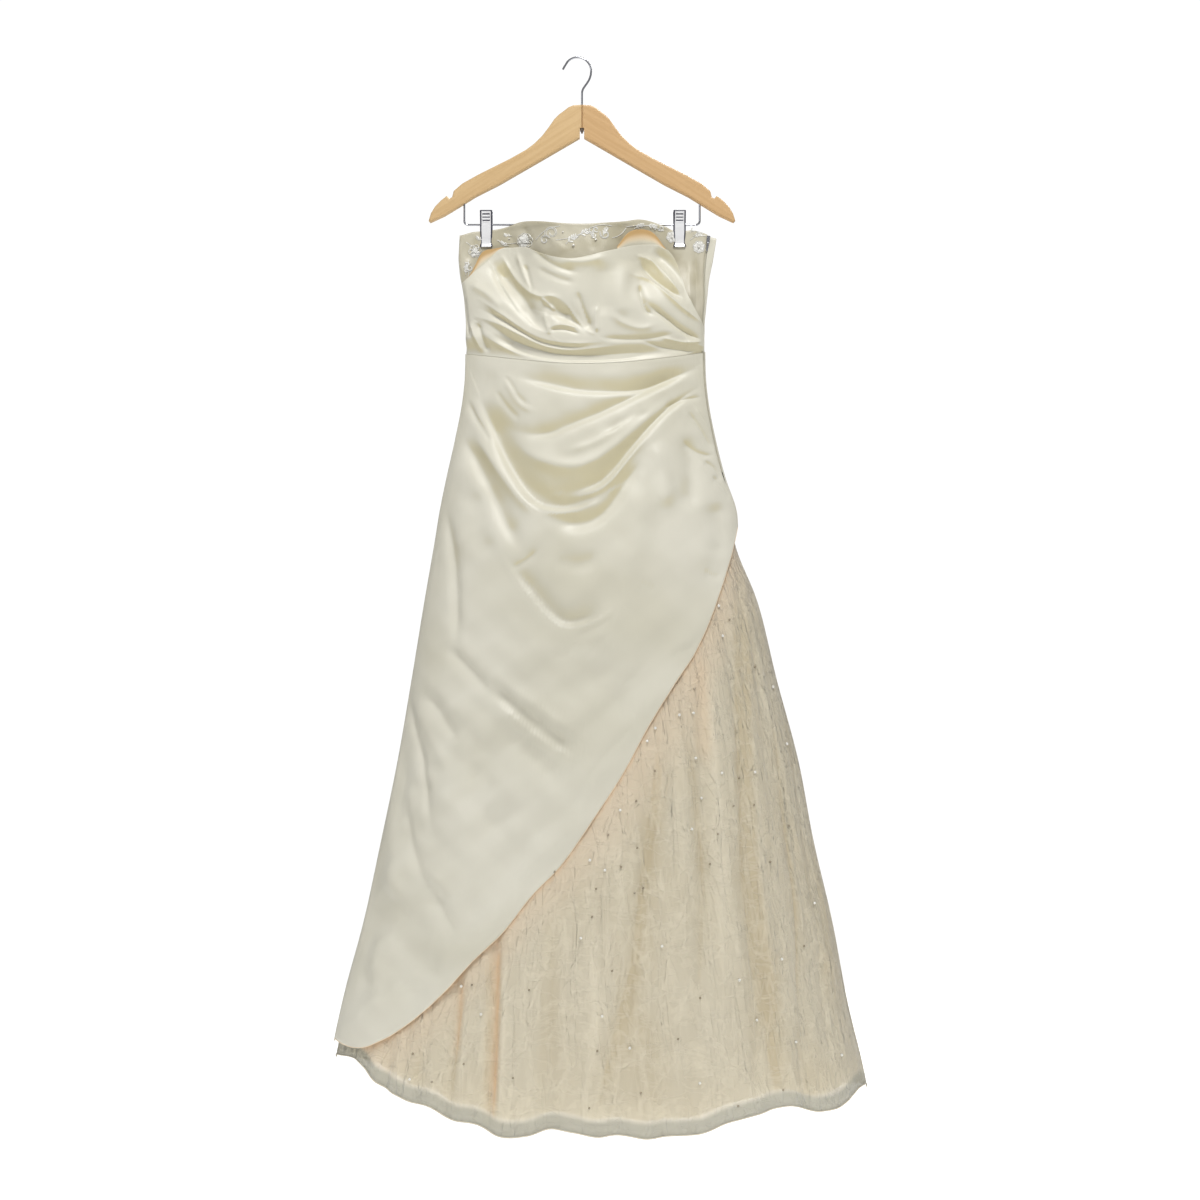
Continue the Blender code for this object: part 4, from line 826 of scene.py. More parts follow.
def nearest_on_run(stations, x, z):
    """Distance to the nearest place of a run, on which side, and its share of the way."""
    nearest = np.full(np.shape(x), 1e9)
    side = np.zeros(nearest.shape)
    share = np.zeros(nearest.shape)
    lengths = np.linalg.norm(np.diff(stations, axis=0), axis=1)
    whole = lengths.sum()
    before = 0.0
    for start, end, length in zip(stations[:-1], stations[1:], lengths):
        way = (end - start) / length
        along = np.clip((x - start[0]) * way[0] + (z - start[1]) * way[1], 0.0, length)
        dx = x - start[0] - along * way[0]
        dz = z - start[1] - along * way[1]
        distance = np.hypot(dx, dz)
        closer = distance < nearest
        nearest = np.where(closer, distance, nearest)
        side = np.where(closer, way[0] * dz - way[1] * dx, side)
        share = np.where(closer, (before + along) / whole, share)
        before += length
    return nearest, side, share


def fold_relief(x, z, folds):
    """Height of all folds of a table at points seen at x, z."""
    relief = np.zeros(np.shape(x))
    for left_flank, right_flank, depth, run in folds:
        nearest, side, share = nearest_on_run(np.array(run, float), x, z)
        flank = np.where(side > 0.0, left_flank, right_flank)
        ends = 0.35 + 0.65 * ease(share, 0.0, 0.2) * ease(1.0 - share, 0.0, 0.2)
        relief += depth * ends * np.exp(-(nearest / flank) ** 2)
    return relief


def back_relief(x, z):
    """Folds behind: they run up from the hem and fade towards the waist."""
    left = smooth_column(SECTIONS, 1, z)
    right = smooth_column(SECTIONS, 2, z)
    share = (2 * x - left - right) / (right - left)
    half = (right - left) / 2
    relief = np.zeros(np.shape(x))
    for place, flank, depth in BACK_FOLDS:
        relief += depth * np.exp(-((share - place) * half / flank) ** 2)
    return relief * ease(-z, 480.0, 1350.0)


def right_seam(z):
    """Angle of the right side seam at a height."""
    return np.radians(smooth_column(RIGHT_SEAM, 1, z))


def seam_step(turn, z):
    """Angle that spans one millimetre of cloth at a seam."""
    small = 0.004
    span = section(turn + small, z) - section(turn - small, z)
    return 2 * small / np.linalg.norm(span, axis=-1)


def crowd(across, share):
    """Crowd a panel's columns towards its two side edges."""
    return across - share * np.sin(2 * math.pi * across) / (2 * math.pi)


def inner_seam(z):
    """Angle of the right side seam of the layers under the overskirt."""
    return -LEFT_SEAM + 0.0 * z


def front_turn(left_gap, right_gap, seam):
    """Spread a front panel's columns between its side seams."""
    def turn_at(across, z):
        start = LEFT_SEAM + left_gap * seam_step(LEFT_SEAM + 0.02, z)
        end = seam(z) - right_gap(z) * seam_step(seam(z), z)
        return start + (end - start) * crowd(across, FRONT_CROWD)
    return turn_at


def back_turn(left_gap, right_gap, seam):
    """Spread a back panel's columns from the right seam round to the left."""
    def turn_at(across, z):
        start = seam(z) + right_gap(z) * seam_step(seam(z), z)
        end = LEFT_SEAM - left_gap * seam_step(LEFT_SEAM - 0.02, z) + 2 * math.pi
        return start + (end - start) * crowd(across, BACK_CROWD)
    return turn_at


def edge_line(turn_at, edge, view, shift=0.0):
    """Height of a panel's edge for each share across it."""
    def height(across, skin):
        return edge_height(lambda z: turn_at(across, z), edge, view, skin) + shift
    return height


# Where each layer lies: how far inside the form, across and in depth
def form_skin(z):
    """The bodice lies on the form itself."""
    return 0.0 * z, 0.0 * z


def satin_skin(z):
    """The overskirt stands proud of the form, flush with the overlay's foot."""
    return 0.0 * z - SATIN_PROUD, 0.0 * z - SATIN_PROUD


def organza_skin(z):
    """The sheer skirt hangs inside the overskirt."""
    return 2.4 + 3.6 * ease(-z, WAIST_DOWN, HIP_DOWN), 0.0 * z + 1.4


def lining_skin(z):
    """The lining hangs inside the sheer skirt."""
    return 6.5 + 5.5 * ease(-z, WAIST_DOWN, HIP_DOWN), 0.0 * z + 3.4


def tape_skin(z):
    """The zip's tape is flush with the bodice, then with the overskirt."""
    proud = SATIN_PROUD * ease(-z, 422.0, 440.0)
    return -proud, -proud


# The seams. The zip's tape fills the upper part of the right one
def plain_gap(z):
    """Half the gap of a seam with nothing in it."""
    return SEAM_GAP / 2 + 0.0 * np.asarray(z, float)


def zip_gap(z):
    """Half the gap of the right seam, open for the zip's tape down to its end."""
    return SEAM_GAP / 2 + (ZIP_HALF_WIDTH + SEAM_GAP / 2) * ease(z, ZIP_END - 22.0, ZIP_END - 2.0)


def drape_gap(z):
    """The overlay stops just short of the zip."""
    return zip_gap(z) + 1.0


def side_share(turn, z, reach=0.23):
    """0 at the side seams, 1 from the reach (in radians) inwards, front and back."""
    in_front = ease(turn - LEFT_SEAM, 0.0, reach) * ease(right_seam(z) - turn, 0.0, reach)
    behind = ease(turn - math.pi / 2, 0.0, reach) * ease(1.5 * math.pi - turn, 0.0, reach)
    return in_front + behind


# How far each layer stands off the form
def facing_move(top_lift):
    """The turned-in edge runs from inside the overlay to near the bodice."""
    def move(base, across, up, turn):
        side = side_share(turn, base[:, 2])
        lift = DRAPE_FOOT + DRAPE_RISE + DRAPE_LOOSE * side - FACING_BACK
        return lift + (np.minimum(top_lift, lift) - lift) * ease(up, 0.15, 1.0)
    return move


def facing_turn(start, end):
    """Spread a facing's columns between two angles."""
    def turn_at(across, z):
        return np.radians(start) + np.radians(end - start) * across + 0.0 * z
    return turn_at


def under_satin(x, z):
    """1 where the satin overskirt covers a point of the front, 0 past its hem."""
    return ease(z - smooth_column(SATIN_HEM, 1, x), 40.0, 170.0)


def under_overlay(x, z):
    """1 where the overlay covers a point of the bodice, 0 above its top edge."""
    return ease(smooth_column(DRAPE_TOP, 1, x) - z, 4.0, 16.0)


def satin_clearance(x, z):
    """How far the layers in front step back behind the overskirt's pleats."""
    return SATIN_ROOM * under_satin(x, z) * ease(-z, 426.0, 455.0)


def back_clearance(z):
    """How far the layers behind step in from the overskirt's folds."""
    return BACK_ROOM * ease(-z, 480.0, 700.0)


def lining_clearance(z):
    """How far the lining steps back inside the sheer skirt."""
    return LINING_START * ease(-z, 430.0, 520.0) + LINING_ROOM * ease(-z, HIP_DOWN, 1150.0)


def lining_move(base, across, up, turn):
    """The lining hangs inside all folds of the sheer skirt."""
    x, z = seen(base)
    clear = satin_clearance(x, z) + lining_clearance(z)
    return -clear * side_share(turn, base[:, 2], SKIRT_REACH)


def lining_back_move(base, across, up, turn):
    """The lining behind."""
    z = base[:, 2]
    clear = lining_clearance(z) + back_clearance(z)
    return -clear * side_share(turn, z, SKIRT_REACH)


def on_chart(across, down):
    """Turn steps on the chart into millimetres, x and z."""
    return (across - CHART_ACROSS) * CHART_STEP, -(down - CHART_DOWN) * CHART_STEP


def fine_relief(x, z, folds):
    """Height of all finer folds of a table at points seen at x, z."""
    relief = np.zeros(np.shape(x))
    for left_flank, right_flank, depth, crispness, steps in folds:
        stations = soft_run(np.array([on_chart(across, down) for across, down in steps]))
        reach = 3.2 * max(left_flank, right_flank)
        low = stations.min(axis=0) - reach
        high = stations.max(axis=0) + reach
        near = (x > low[0]) & (x < high[0]) & (z > low[1]) & (z < high[1])
        nearest, side, share = nearest_on_run(stations, x[near], z[near])
        flank = np.where(side > 0.0, left_flank, right_flank)
        ends = ease(share, 0.0, 0.22) * ease(1.0 - share, 0.0, 0.22)
        relief[near] += depth * (0.12 + 0.88 * ends) * np.exp(-(nearest / flank) ** crispness)
    return relief


def soft_run(stations):
    """Round the corners of a fold's run."""
    for _ in range(2):
        before = stations[:-1] * 0.75 + stations[1:] * 0.25
        after = stations[:-1] * 0.25 + stations[1:] * 0.75
        inner = np.stack([before, after], axis=1).reshape(-1, 2)
        stations = np.concatenate([stations[:1], inner[1:-1], stations[-1:]])
    return stations


def waver(x, z, seed, size, height):
    """Uneven soft swell of hung cloth, from a few slanted waves."""
    chance = random.Random(seed)
    swell = np.zeros(np.shape(x))
    for _ in range(7):
        angle = chance.uniform(0.0, math.pi)
        length = size * chance.uniform(0.6, 1.7)
        phase = chance.uniform(0.0, 2.0 * math.pi)
        swell += np.sin(2.0 * math.pi * (x * math.cos(angle) + z * math.sin(angle)) / length + phase)
    return swell * height / 4.0


def gathers(turn, z, seed, count, height):
    """Uneven upright gathers round the sheer skirt, growing towards its hem."""
    chance = random.Random(seed)
    swell = np.zeros(np.shape(turn))
    for _ in range(8):
        waves = count * chance.uniform(0.45, 1.5)
        phase = chance.uniform(0.0, 2.0 * math.pi)
        lean = chance.uniform(-0.0012, 0.0012)
        swell += np.sin(waves * turn + phase + lean * z)
    return swell * height / 4.0 * (0.35 + 0.65 * ease(-z, 700.0, 1500.0))


def seam_fade(across):
    """0 at a panel's two sides, 1 a little way in."""
    return ease(across, 0.0, 0.05) * ease(1.0 - across, 0.0, 0.05)


def in_scene(name, data):
    """Put a mesh, light or camera in the scene."""
    item = bpy.data.objects.new(name, data)
    bpy.context.scene.collection.objects.link(item)
    return item


def link(name, mesh, material):
    """Make a piece of a mesh, give it its finish and let it ride with the dress."""
    piece = in_scene(name, mesh)
    piece.data.materials.append(material)
    piece.data.shade_smooth()
    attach(piece, "dress")
    return piece


def keep(mesh, name, values):
    """Store one value a vertex, for the finishes to read."""
    kept = mesh.attributes.new(name, 'FLOAT', 'POINT')
    kept.data.foreach_set("value", values)


def hem_glow(base):
    """1 just below the overskirt's hem, where its peach underside shines on the sheer cloth."""
    x, z = seen(base)
    below = smooth_column(SATIN_HEM, 1, x) - z
    return 1.0 - ease(below, -10.0, 90.0 + 90.0 * ease(x, -60.0, 120.0))


def deep_peach(base):
    """1 in the thin line of painted warm shade under the overskirt's hem, and along two deep folds
    where the peach lining lies close behind.
    """
    x, z = seen(base)
    below = smooth_column(SATIN_HEM, 1, x) - z
    return np.clip(1.0 - ease(below, -2.0, 11.0) + fine_relief(x, z, PEACH_FOLDS), 0.0, 1.0)


def softened(grid, passes):
    """A grid of values, each blended with its neighbours a few times."""
    for _ in range(passes):
        wide = np.pad(grid, 1, mode="edge")
        grid = (wide[:-2, 1:-1] + wide[2:, 1:-1] + wide[1:-1, :-2] + wide[1:-1, 2:]
                + 2.0 * grid) / 6.0
    return grid


def cloth_sheet(name, columns, rows, turn_at, top, bottom, move, skin, thickness,
                material, row_crowd=1.0, sheer=False):
    """A thin shell on the dress's form: a grid laid on it, then given its thickness."""
    shape = bmesh.new()
    bmesh.ops.create_grid(shape, x_segments=columns, y_segments=rows, size=1.0)
    mesh = bpy.data.meshes.new(name)
    shape.to_mesh(mesh)
    shape.free()
    count = len(mesh.vertices)
    flat = np.empty(count * 3)
    mesh.vertices.foreach_get("co", flat)
    flat = flat.reshape(count, 3)
    across = (flat[:, 0] + 1.0) / 2
    up = 1.0 - (1.0 - (flat[:, 1] + 1.0) / 2) ** row_crowd
    foot = bottom(across, skin)
    head = top(across, skin)
    z = foot + (head - foot) * up
    turn = turn_at(across, z)
    base = section(turn, z, skin(z))
    height = move(base, across, up, turn)
    place = base + outward(turn, z) * height[:, None]
    mesh.vertices.foreach_set("co", (place * MM).ravel())
    rise = np.gradient(height.reshape(rows + 1, columns + 1), axis=0).ravel()
    step = np.gradient(z.reshape(rows + 1, columns + 1), axis=0).ravel()
    lean = np.clip(rise / np.maximum(step, 0.1), -0.2, 1.0)
    # Mask of a painted warm shade, deep in hollows and on downward-facing slopes, full above the
    # hips and fading below them
    warm = 1.0 - 0.8 * ease(-z, 700.0, 900.0)
    keep(mesh, "fold", (0.03 * np.minimum(height, 0.0) - 1.7 * lean) * warm)
    # Softened downward-facing slope, kept as the mask of a painted shade
    keep(mesh, "dent", softened(lean.reshape(rows + 1, columns + 1), 4).ravel())
    keep(mesh, "above_hem", z - foot)
    keep(mesh, "share_up", up)
    if sheer:
        keep(mesh, "glow", hem_glow(base))
        keep(mesh, "deep_peach", deep_peach(base))
        keep(mesh, "tone", fine_relief(*seen(base), SHEER_TONES))
    lay_out = mesh.uv_layers.new(name="cloth")
    corner = np.empty(len(mesh.loops), dtype=np.int32)
    mesh.loops.foreach_get("vertex_index", corner)
    wide = (base[:, 0].max() - base[:, 0].min()) * MM
    on_cloth = np.stack([across * wide, (z - foot.min()) * MM], axis=-1)[corner]
    lay_out.data.foreach_set("uv", on_cloth.ravel())
    mesh.update()
    piece = link(name, mesh, material)
    wall = piece.modifiers.new("thickness", 'SOLIDIFY')
    wall.thickness = thickness * MM
    wall.offset = -1.0
    return piece


# Finishes
def new_finish(name):
    """A new material with its node tree and its Principled shader."""
    material = bpy.data.materials.new(name)
    material.use_nodes = True
    return material, material.node_tree, material.node_tree.nodes["Principled BSDF"]


def add(tree, kind, **settings):
    """Add a node with its settings."""
    node = tree.nodes.new(kind)
    for key, value in settings.items():
        setattr(node, key, value)
    return node


def settle(node, **values):
    """Set plain inputs of a node, their names written with underscores."""
    for key, value in values.items():
        node.inputs[key.replace("_", " ")].default_value = value


def attribute(tree, name):
    """A value kept on the mesh."""
    return add(tree, "ShaderNodeAttribute", attribute_name=name).outputs["Fac"]


def reckon(tree, operation, value, number=0.0):
    """A node's value put through one sum with a plain number."""
    node = add(tree, "ShaderNodeMath", operation=operation)
    tree.links.new(value, node.inputs[0])
    node.inputs[1].default_value = number
    return node.outputs["Value"]


def spread(tree, value, low, high):
    """Bring a value from 0 to 1 into another span."""
    node = add(tree, "ShaderNodeMapRange")
    settle(node, To_Min=low, To_Max=high)
    tree.links.new(value, node.inputs["Value"])
    return node.outputs["Result"]


def noise(tree, vector, scale, detail=3.0, roughness=0.5, distortion=0.0):
    """A noise texture on the given coordinates."""
    node = add(tree, "ShaderNodeTexNoise")
    settle(node, Scale=scale, Detail=detail, Roughness=roughness, Distortion=distortion)
    tree.links.new(vector, node.inputs["Vector"])
    return node.outputs["Fac"]


def stretched(tree, vector, scale, turn=(0.0, 0.0, 0.0)):
    """The coordinates stretched and turned."""
    node = add(tree, "ShaderNodeMapping")
    settle(node, Scale=scale, Rotation=turn)
    tree.links.new(vector, node.inputs["Vector"])
    return node.outputs["Vector"]


def blend_colours(tree, share, first, second):
    """Mix two colours, either of them plain or another node's."""
    node = add(tree, "ShaderNodeMix", data_type='RGBA')
    tree.links.new(share, node.inputs["Factor"])
    for value, socket in ((first, node.inputs["A"]), (second, node.inputs["B"])):
        if isinstance(value, (tuple, list)):
            socket.default_value = (*value[:3], 1.0)
        else:
            tree.links.new(value, socket)
    return node.outputs["Result"]


def ramp(tree, value, low, high):
    """Stretch a value so that low is 0 and high is 1."""
    node = add(tree, "ShaderNodeMapRange")
    node.interpolation_type = 'SMOOTHSTEP'
    settle(node, From_Min=low, From_Max=high)
    tree.links.new(value, node.inputs["Value"])
    return node.outputs["Result"]


def bumps(tree, shader, layers):
    """Chain bump layers, each with its height, depth in millimetres and strength."""
    normal = None
    for height, depth, strength in layers:
        node = add(tree, "ShaderNodeBump")
        settle(node, Distance=depth * MM, Strength=strength)
        tree.links.new(height, node.inputs["Height"])
        if normal is not None:
            tree.links.new(normal, node.inputs["Normal"])
        normal = node.outputs["Normal"]
    tree.links.new(normal, shader.inputs["Normal"])


def weave(tree, vector, pitch):
    """Threads of a weave, one wave each way, as a height from 0 to 1."""
    waves = []
    for direction in ('X', 'Y'):
        node = add(tree, "ShaderNodeTexWave", wave_type='BANDS', bands_direction=direction)
        settle(node, Scale=WAVE_SCALE / (pitch * MM), Distortion=0.6, Detail=1.0)
        tree.links.new(vector, node.inputs["Vector"])
        waves.append(node.outputs["Fac"])
    both = add(tree, "ShaderNodeMath", operation='MULTIPLY')
    tree.links.new(waves[0], both.inputs[0])
    tree.links.new(waves[1], both.inputs[1])
    return both.outputs["Value"]


def cloth_finish(name, colour, shade, warm, roughness, sheen, pitch, crease,
                 anisotropy=0.0, patch=5.0):
    """A woven cloth with random cooler patches, painted shade on its downward-facing slopes and
    painted warm shade in its hollows, with fine creases.
    """
    material, tree, shader = new_finish(name)
    flat = add(tree, "ShaderNodeUVMap", uv_map="cloth").outputs["UV"]
    relief = attribute(tree, "fold")
    soft = ramp(tree, noise(tree, flat, patch, 3.0, 0.55, 0.4), 0.30, 0.78)
    base = blend_colours(tree, soft, colour, shade)
    # Painted shade on downward-facing slopes, up to a third of the way to a darker copy of the shade
    # colour
    dent = attribute(tree, "dent")
    half = reckon(tree, 'MULTIPLY', ramp(tree, dent, -0.12, 0.24), 0.34)
    deeper = tuple(value * 0.80 for value in shade[:3])
    base = blend_colours(tree, half, base, deeper)
    # Painted warm shade in hollows and on downward-facing slopes
    base = blend_colours(tree, ramp(tree, relief, -0.10, -0.85), base, warm)
    tree.links.new(base, shader.inputs["Base Color"])
    dull = spread(tree, noise(tree, flat, 60.0, 2.0), roughness - 0.05, roughness + 0.07)
    tree.links.new(dull, shader.inputs["Roughness"])
    settle(shader, Sheen_Weight=sheen, Sheen_Roughness=0.4, Anisotropic=anisotropy)
    creased = noise(tree, stretched(tree, flat, (1.0, 0.45, 1.0)), 42.0, 4.0, 0.55, 0.8)
    bumps(tree, shader, ((creased, crease, 0.8), (weave(tree, flat, pitch), 0.08, 0.5)))
    return material


def underside_finish(name, light, deep, pale):
    """The overlay's turned-in edge, peach, with painted light and shade: a deep gold painted shade
    along its top and at its foot, and paler satin colour down its lit middle.
    """
    material, tree, shader = new_finish(name)
    flat = add(tree, "ShaderNodeUVMap", uv_map="cloth").outputs["UV"]
    share = attribute(tree, "share_up")
    # Painted light and shade by height: pale where lit down the middle, peach above, painted gold
    # shade at the top and the foot
    base = blend_colours(tree, ramp(tree, share, 0.20, 0.62), pale, light)
    base = blend_colours(tree, ramp(tree, share, 0.50, 0.84), base, deep)
    base = blend_colours(tree, ramp(tree, share, 0.18, 0.02), base, deep)
    tree.links.new(base, shader.inputs["Base Color"])
    settle(shader, Roughness=0.42, Sheen_Weight=0.15)
    creased = noise(tree, stretched(tree, flat, (1.0, 0.5, 1.0)), 60.0, 4.0, 0.55, 0.6)
    bumps(tree, shader, ((creased, 0.5, 0.8), (weave(tree, flat, 0.35), 0.08, 0.5)))
    return material


def creases(tree, vector, size, turn, sharp):
    """Sharp uneven crease lines, 1 on a line, along one slanted direction."""
    laid = stretched(tree, vector, size, (0.0, 0.0, math.radians(turn)))
    field = noise(tree, laid, 1.0, 3.0, 0.55, 0.6)
    away = reckon(tree, 'ABSOLUTE', reckon(tree, 'SUBTRACT', field, 0.5))
    return ramp(tree, away, sharp, 0.0)


def sheer_finish(name, colour, hollow, peach, bare, alpha):
    """Sheer crinkled cloth with painted light and shade: shade in its hollows, highlights on its
    light tones and creases, a peach glow below the overskirt's hem, and darker painted shade below
    the lining's hem, where it is clearer.
    """
    material, tree, shader = new_finish(name)
    flat = add(tree, "ShaderNodeUVMap", uv_map="cloth").outputs["UV"]
    relief = attribute(tree, "fold")
    glow = attribute(tree, "glow")
    above = attribute(tree, "above_hem")
    tone = attribute(tree, "tone")
    patch = ramp(tree, noise(tree, stretched(tree, flat, (1.0, 0.35, 1.0)), 11.0, 3.0), 0.25, 0.75)
    middle = tuple((value + other) / 2 for value, other in zip(colour, hollow))
    base = blend_colours(tree, patch, middle, colour)
    # Painted shade in hollows and on downward-facing slopes
    base = blend_colours(tree, ramp(tree, relief, 0.1, -0.6), base, middle)
    # Deeper tone where the cloth lies double, partly painted shade
    base = blend_colours(tree, ramp(tree, tone, 0.05, -1.0), base, hollow)
    # Painted highlight where the cloth catches the light
    highlight_share = ramp(tree, tone, 0.05, 1.4)
    long_lines = creases(tree, flat, (60.0, 7.0, 1.0), 4.0, 0.07)
    slant_lines = creases(tree, flat, (46.0, 16.0, 1.0), -24.0, 0.06)
    cross_lines = creases(tree, flat, (30.0, 50.0, 1.0), 14.0, 0.05)
    pale = tuple(min(1.0, value * 1.2) for value in colour[:3])
    base = blend_colours(tree, highlight_share, base, pale)
    # Painted highlights along the crease lines
    for lines in (long_lines, slant_lines, cross_lines):
        base = blend_colours(tree, reckon(tree, 'MULTIPLY', lines, 0.30), base, pale)
    # Painted peach glow of light from the overskirt's underside, just below its hem
    base = blend_colours(tree, reckon(tree, 'MULTIPLY', glow, 0.8), base, peach)
    # Painted warm shade in a thin line under the overskirt's hem, and peach along deep folds with
    # the lining close behind
    deep = reckon(tree, 'MULTIPLY', attribute(tree, "deep_peach"), 0.85)
    peach_shade_line = (peach[0], peach[1] * 0.82, peach[2] * 0.66)
    base = blend_colours(tree, deep, base, peach_shade_line)
    # Below the lining's hem the cloth is painted darker for the shade inside the skirt
    backed = ramp(tree, above, 16.0, 25.0)
    base = blend_colours(tree, backed, bare, base)
    tree.links.new(base, shader.inputs["Base Color"])
    tree.links.new(spread(tree, backed, 0.72, alpha), shader.inputs["Alpha"])
    settle(shader, Roughness=0.42, Sheen_Weight=0.35, Sheen_Roughness=0.35)
    crinkle = noise(tree, flat, 95.0, 4.0, 0.6, 0.9)
    bumps(tree, shader, ((long_lines, 1.1, 0.8), (slant_lines, 1.0, 0.8),
                         (cross_lines, 0.8, 0.7), (crinkle, 0.9, 0.9),
                         (weave(tree, flat, 0.6), 0.05, 0.5)))
    return material


def metal_finish(name, colour, roughness):
    """Polished or brushed metal with faint handling marks."""
    material, tree, shader = new_finish(name)
    place = add(tree, "ShaderNodeTexCoord").outputs["Object"]
    shader.inputs["Base Color"].default_value = (*colour[:3], 1.0)
    settle(shader, Metallic=1.0)
    marks = noise(tree, place, 900.0, 4.0, 0.6)
    dull = spread(tree, marks, roughness * 0.7, roughness * 1.6)
    tree.links.new(dull, shader.inputs["Roughness"])
    bumps(tree, shader, ((noise(tree, place, 2400.0, 2.0), 0.01, 0.3),))
    return material


def clip_finish(name, face, rim):
    """Pressed metal with painted light: a near-white painted reflection on its face, and painted
    dark shade on its turned-back sides, top edge and rib grooves.
    """
    material, tree, shader = new_finish(name)
    side = attribute(tree, "side")
    base = blend_colours(tree, ramp(tree, side, 0.1, 0.9), face, rim)
    tree.links.new(base, shader.inputs["Base Color"])
    settle(shader, Metallic=0.25, Roughness=0.2, Coat_Weight=0.6)
    place = add(tree, "ShaderNodeTexCoord").outputs["Object"]
    brushed = noise(tree, stretched(tree, place, (1600.0, 1600.0, 60.0)), 1.0, 2.0)
    bumps(tree, shader, ((brushed, 0.02, 0.4),))
    return material


def wood_finish(name, light, dark, lean):
    """Pale varnished wood, its grain running along a sloping arm."""
    material, tree, shader = new_finish(name)
    place = add(tree, "ShaderNodeTexCoord").outputs["Object"]
    along = stretched(tree, place, (1.0, 1.0, 1.0), (0.0, math.radians(lean), 0.0))
    grain = noise(tree, stretched(tree, along, (9.0, 160.0, 160.0)), 1.0, 5.0, 0.6, 0.4)
    fibre = noise(tree, stretched(tree, along, (40.0, 1500.0, 1500.0)), 1.0, 3.0, 0.6)
    base = blend_colours(tree, ramp(tree, grain, 0.36, 0.66), light, dark)
    deeper = tuple(value * 0.72 for value in dark[:3])
    base = blend_colours(tree, ramp(tree, fibre, 0.62, 0.85), base, deeper)
    tree.links.new(base, shader.inputs["Base Color"])
    settle(shader, Roughness=0.50, Coat_Weight=0.12, Coat_Roughness=0.25)
    bumps(tree, shader, ((fibre, 0.08, 0.5), (grain, 0.15, 0.4)))
    return material


def gem_finish(name, colour, roughness, coat, metallic=0.0):
    """A bead or thread finish with a soft lustre."""
    material, tree, shader = new_finish(name)
    place = add(tree, "ShaderNodeTexCoord").outputs["Object"]
    mottle = noise(tree, place, 700.0, 2.0)
    darker = tuple(value * 0.86 for value in colour[:3])
    tree.links.new(blend_colours(tree, ramp(tree, mottle, 0.3, 0.7), colour, darker),
                   shader.inputs["Base Color"])
    settle(shader, Roughness=roughness, Coat_Weight=coat, Coat_Roughness=0.08,
           Metallic=metallic)
    bumps(tree, shader, ((noise(tree, place, 2600.0, 2.0), 0.05, 0.4),))
    return material


# Small things laid on the cloth
def surface_of(*names):
    """The shown outside of finished pieces, for laying small things on."""
    vertices = []
    faces = []
    for name in names:
        mesh = bpy.data.objects[name].data
        start = len(vertices)
        vertices.extend(vertex.co.copy() for vertex in mesh.vertices)
        faces.extend([start + index for index in face.vertices] for face in mesh.polygons)
    return BVHTree.FromPolygons(vertices, faces)


def spot(surface, x, z, behind=False):
    """Place and outward direction of the cloth seen at x, z."""
    if behind:
        start = Vector((x, 400.0, z)) * MM
        ray = Vector((0.0, -1.0, 0.0))
    else:
        start = Vector((VIEW_X, -VIEW_DISTANCE, VIEW_Z)) * MM
        ray = (Vector((x, 0.0, z)) * MM - start).normalized()
    place, normal, _, _ = surface.ray_cast(start, ray)
    if place is None:
        return None, None
    if normal.dot(ray) > 0.0:
        normal = -normal
    return place, normal


def stand_on(place, normal, turn=0.0):
    """Axes that stand on the cloth, turned about its outward direction."""
    side = Vector((0.0, 0.0, 1.0)).cross(normal).normalized()
    up = normal.cross(side)
    axes = Matrix((side, up, normal)).transposed().to_4x4()
    return Matrix.Translation(place) @ axes @ Matrix.Rotation(turn, 4, 'Z')


def dome(shape, frame_at, length, width, height, reach=0.0):
    """A padded petal or leaf: a low ellipsoid on the cloth."""
    size = Matrix.Diagonal((length / 2 * MM, width / 2 * MM, height * MM, 1.0))
    shift = Matrix.Translation((reach * MM, 0.0, 0.0))
    bmesh.ops.create_uvsphere(shape, u_segments=10, v_segments=6, radius=1.0,
                              matrix=frame_at @ shift @ size)


def ball(shape, place, radius, fineness=2):
    """A round bead."""
    bmesh.ops.create_icosphere(shape, subdivisions=fineness, radius=radius * MM,
                               matrix=Matrix.Translation(place))


def from_shape(name, shape, material):
    """Turn a finished bmesh into a piece."""
    mesh = bpy.data.meshes.new(name)
    shape.to_mesh(mesh)
    shape.free()
    return link(name, mesh, material)


def threads(name, runs, radius, material, sides=1):
    """One piece of many thin round threads, each along its own run of points."""
    curve = bpy.data.curves.new(name, 'CURVE')
    curve.dimensions = '3D'
    curve.bevel_depth = radius * MM
    curve.bevel_resolution = sides
    curve.use_fill_caps = True
    for run in runs:
        spline = curve.splines.new('POLY')
        spline.points.add(len(run) - 1)
        for knot, point in zip(spline.points, run):
            knot.co = (*point, 1.0)
    guide = bpy.data.objects.new(name + "_guide", curve)
    bpy.context.scene.collection.objects.link(guide)
    bpy.context.view_layer.update()
    evaluated = guide.evaluated_get(bpy.context.evaluated_depsgraph_get())
    mesh = bpy.data.meshes.new_from_object(evaluated)
    mesh.name = name
    bpy.data.objects.remove(guide, do_unlink=True)
    mesh.materials.clear()
    return link(name, mesh, material)


def laid_run(surface, points, lift):
    """A run of x, z points laid on the cloth, a little proud of it."""
    run = []
    for x, z in points:
        place, normal = spot(surface, x, z)
        if place is not None:
            run.append(place + normal * lift * MM)
    return run


def curl(x, z, radius, start, turns, shrink=0.75, steps=22):
    """Points of a scroll that winds inwards."""
    points = []
    for step in range(steps + 1):
        share = step / steps
        angle = math.radians(start) + turns * 2.0 * math.pi * share
        reach = radius * (1.0 - shrink * share)
        points.append((x + reach * math.cos(angle), z + reach * math.sin(angle)))
    return points


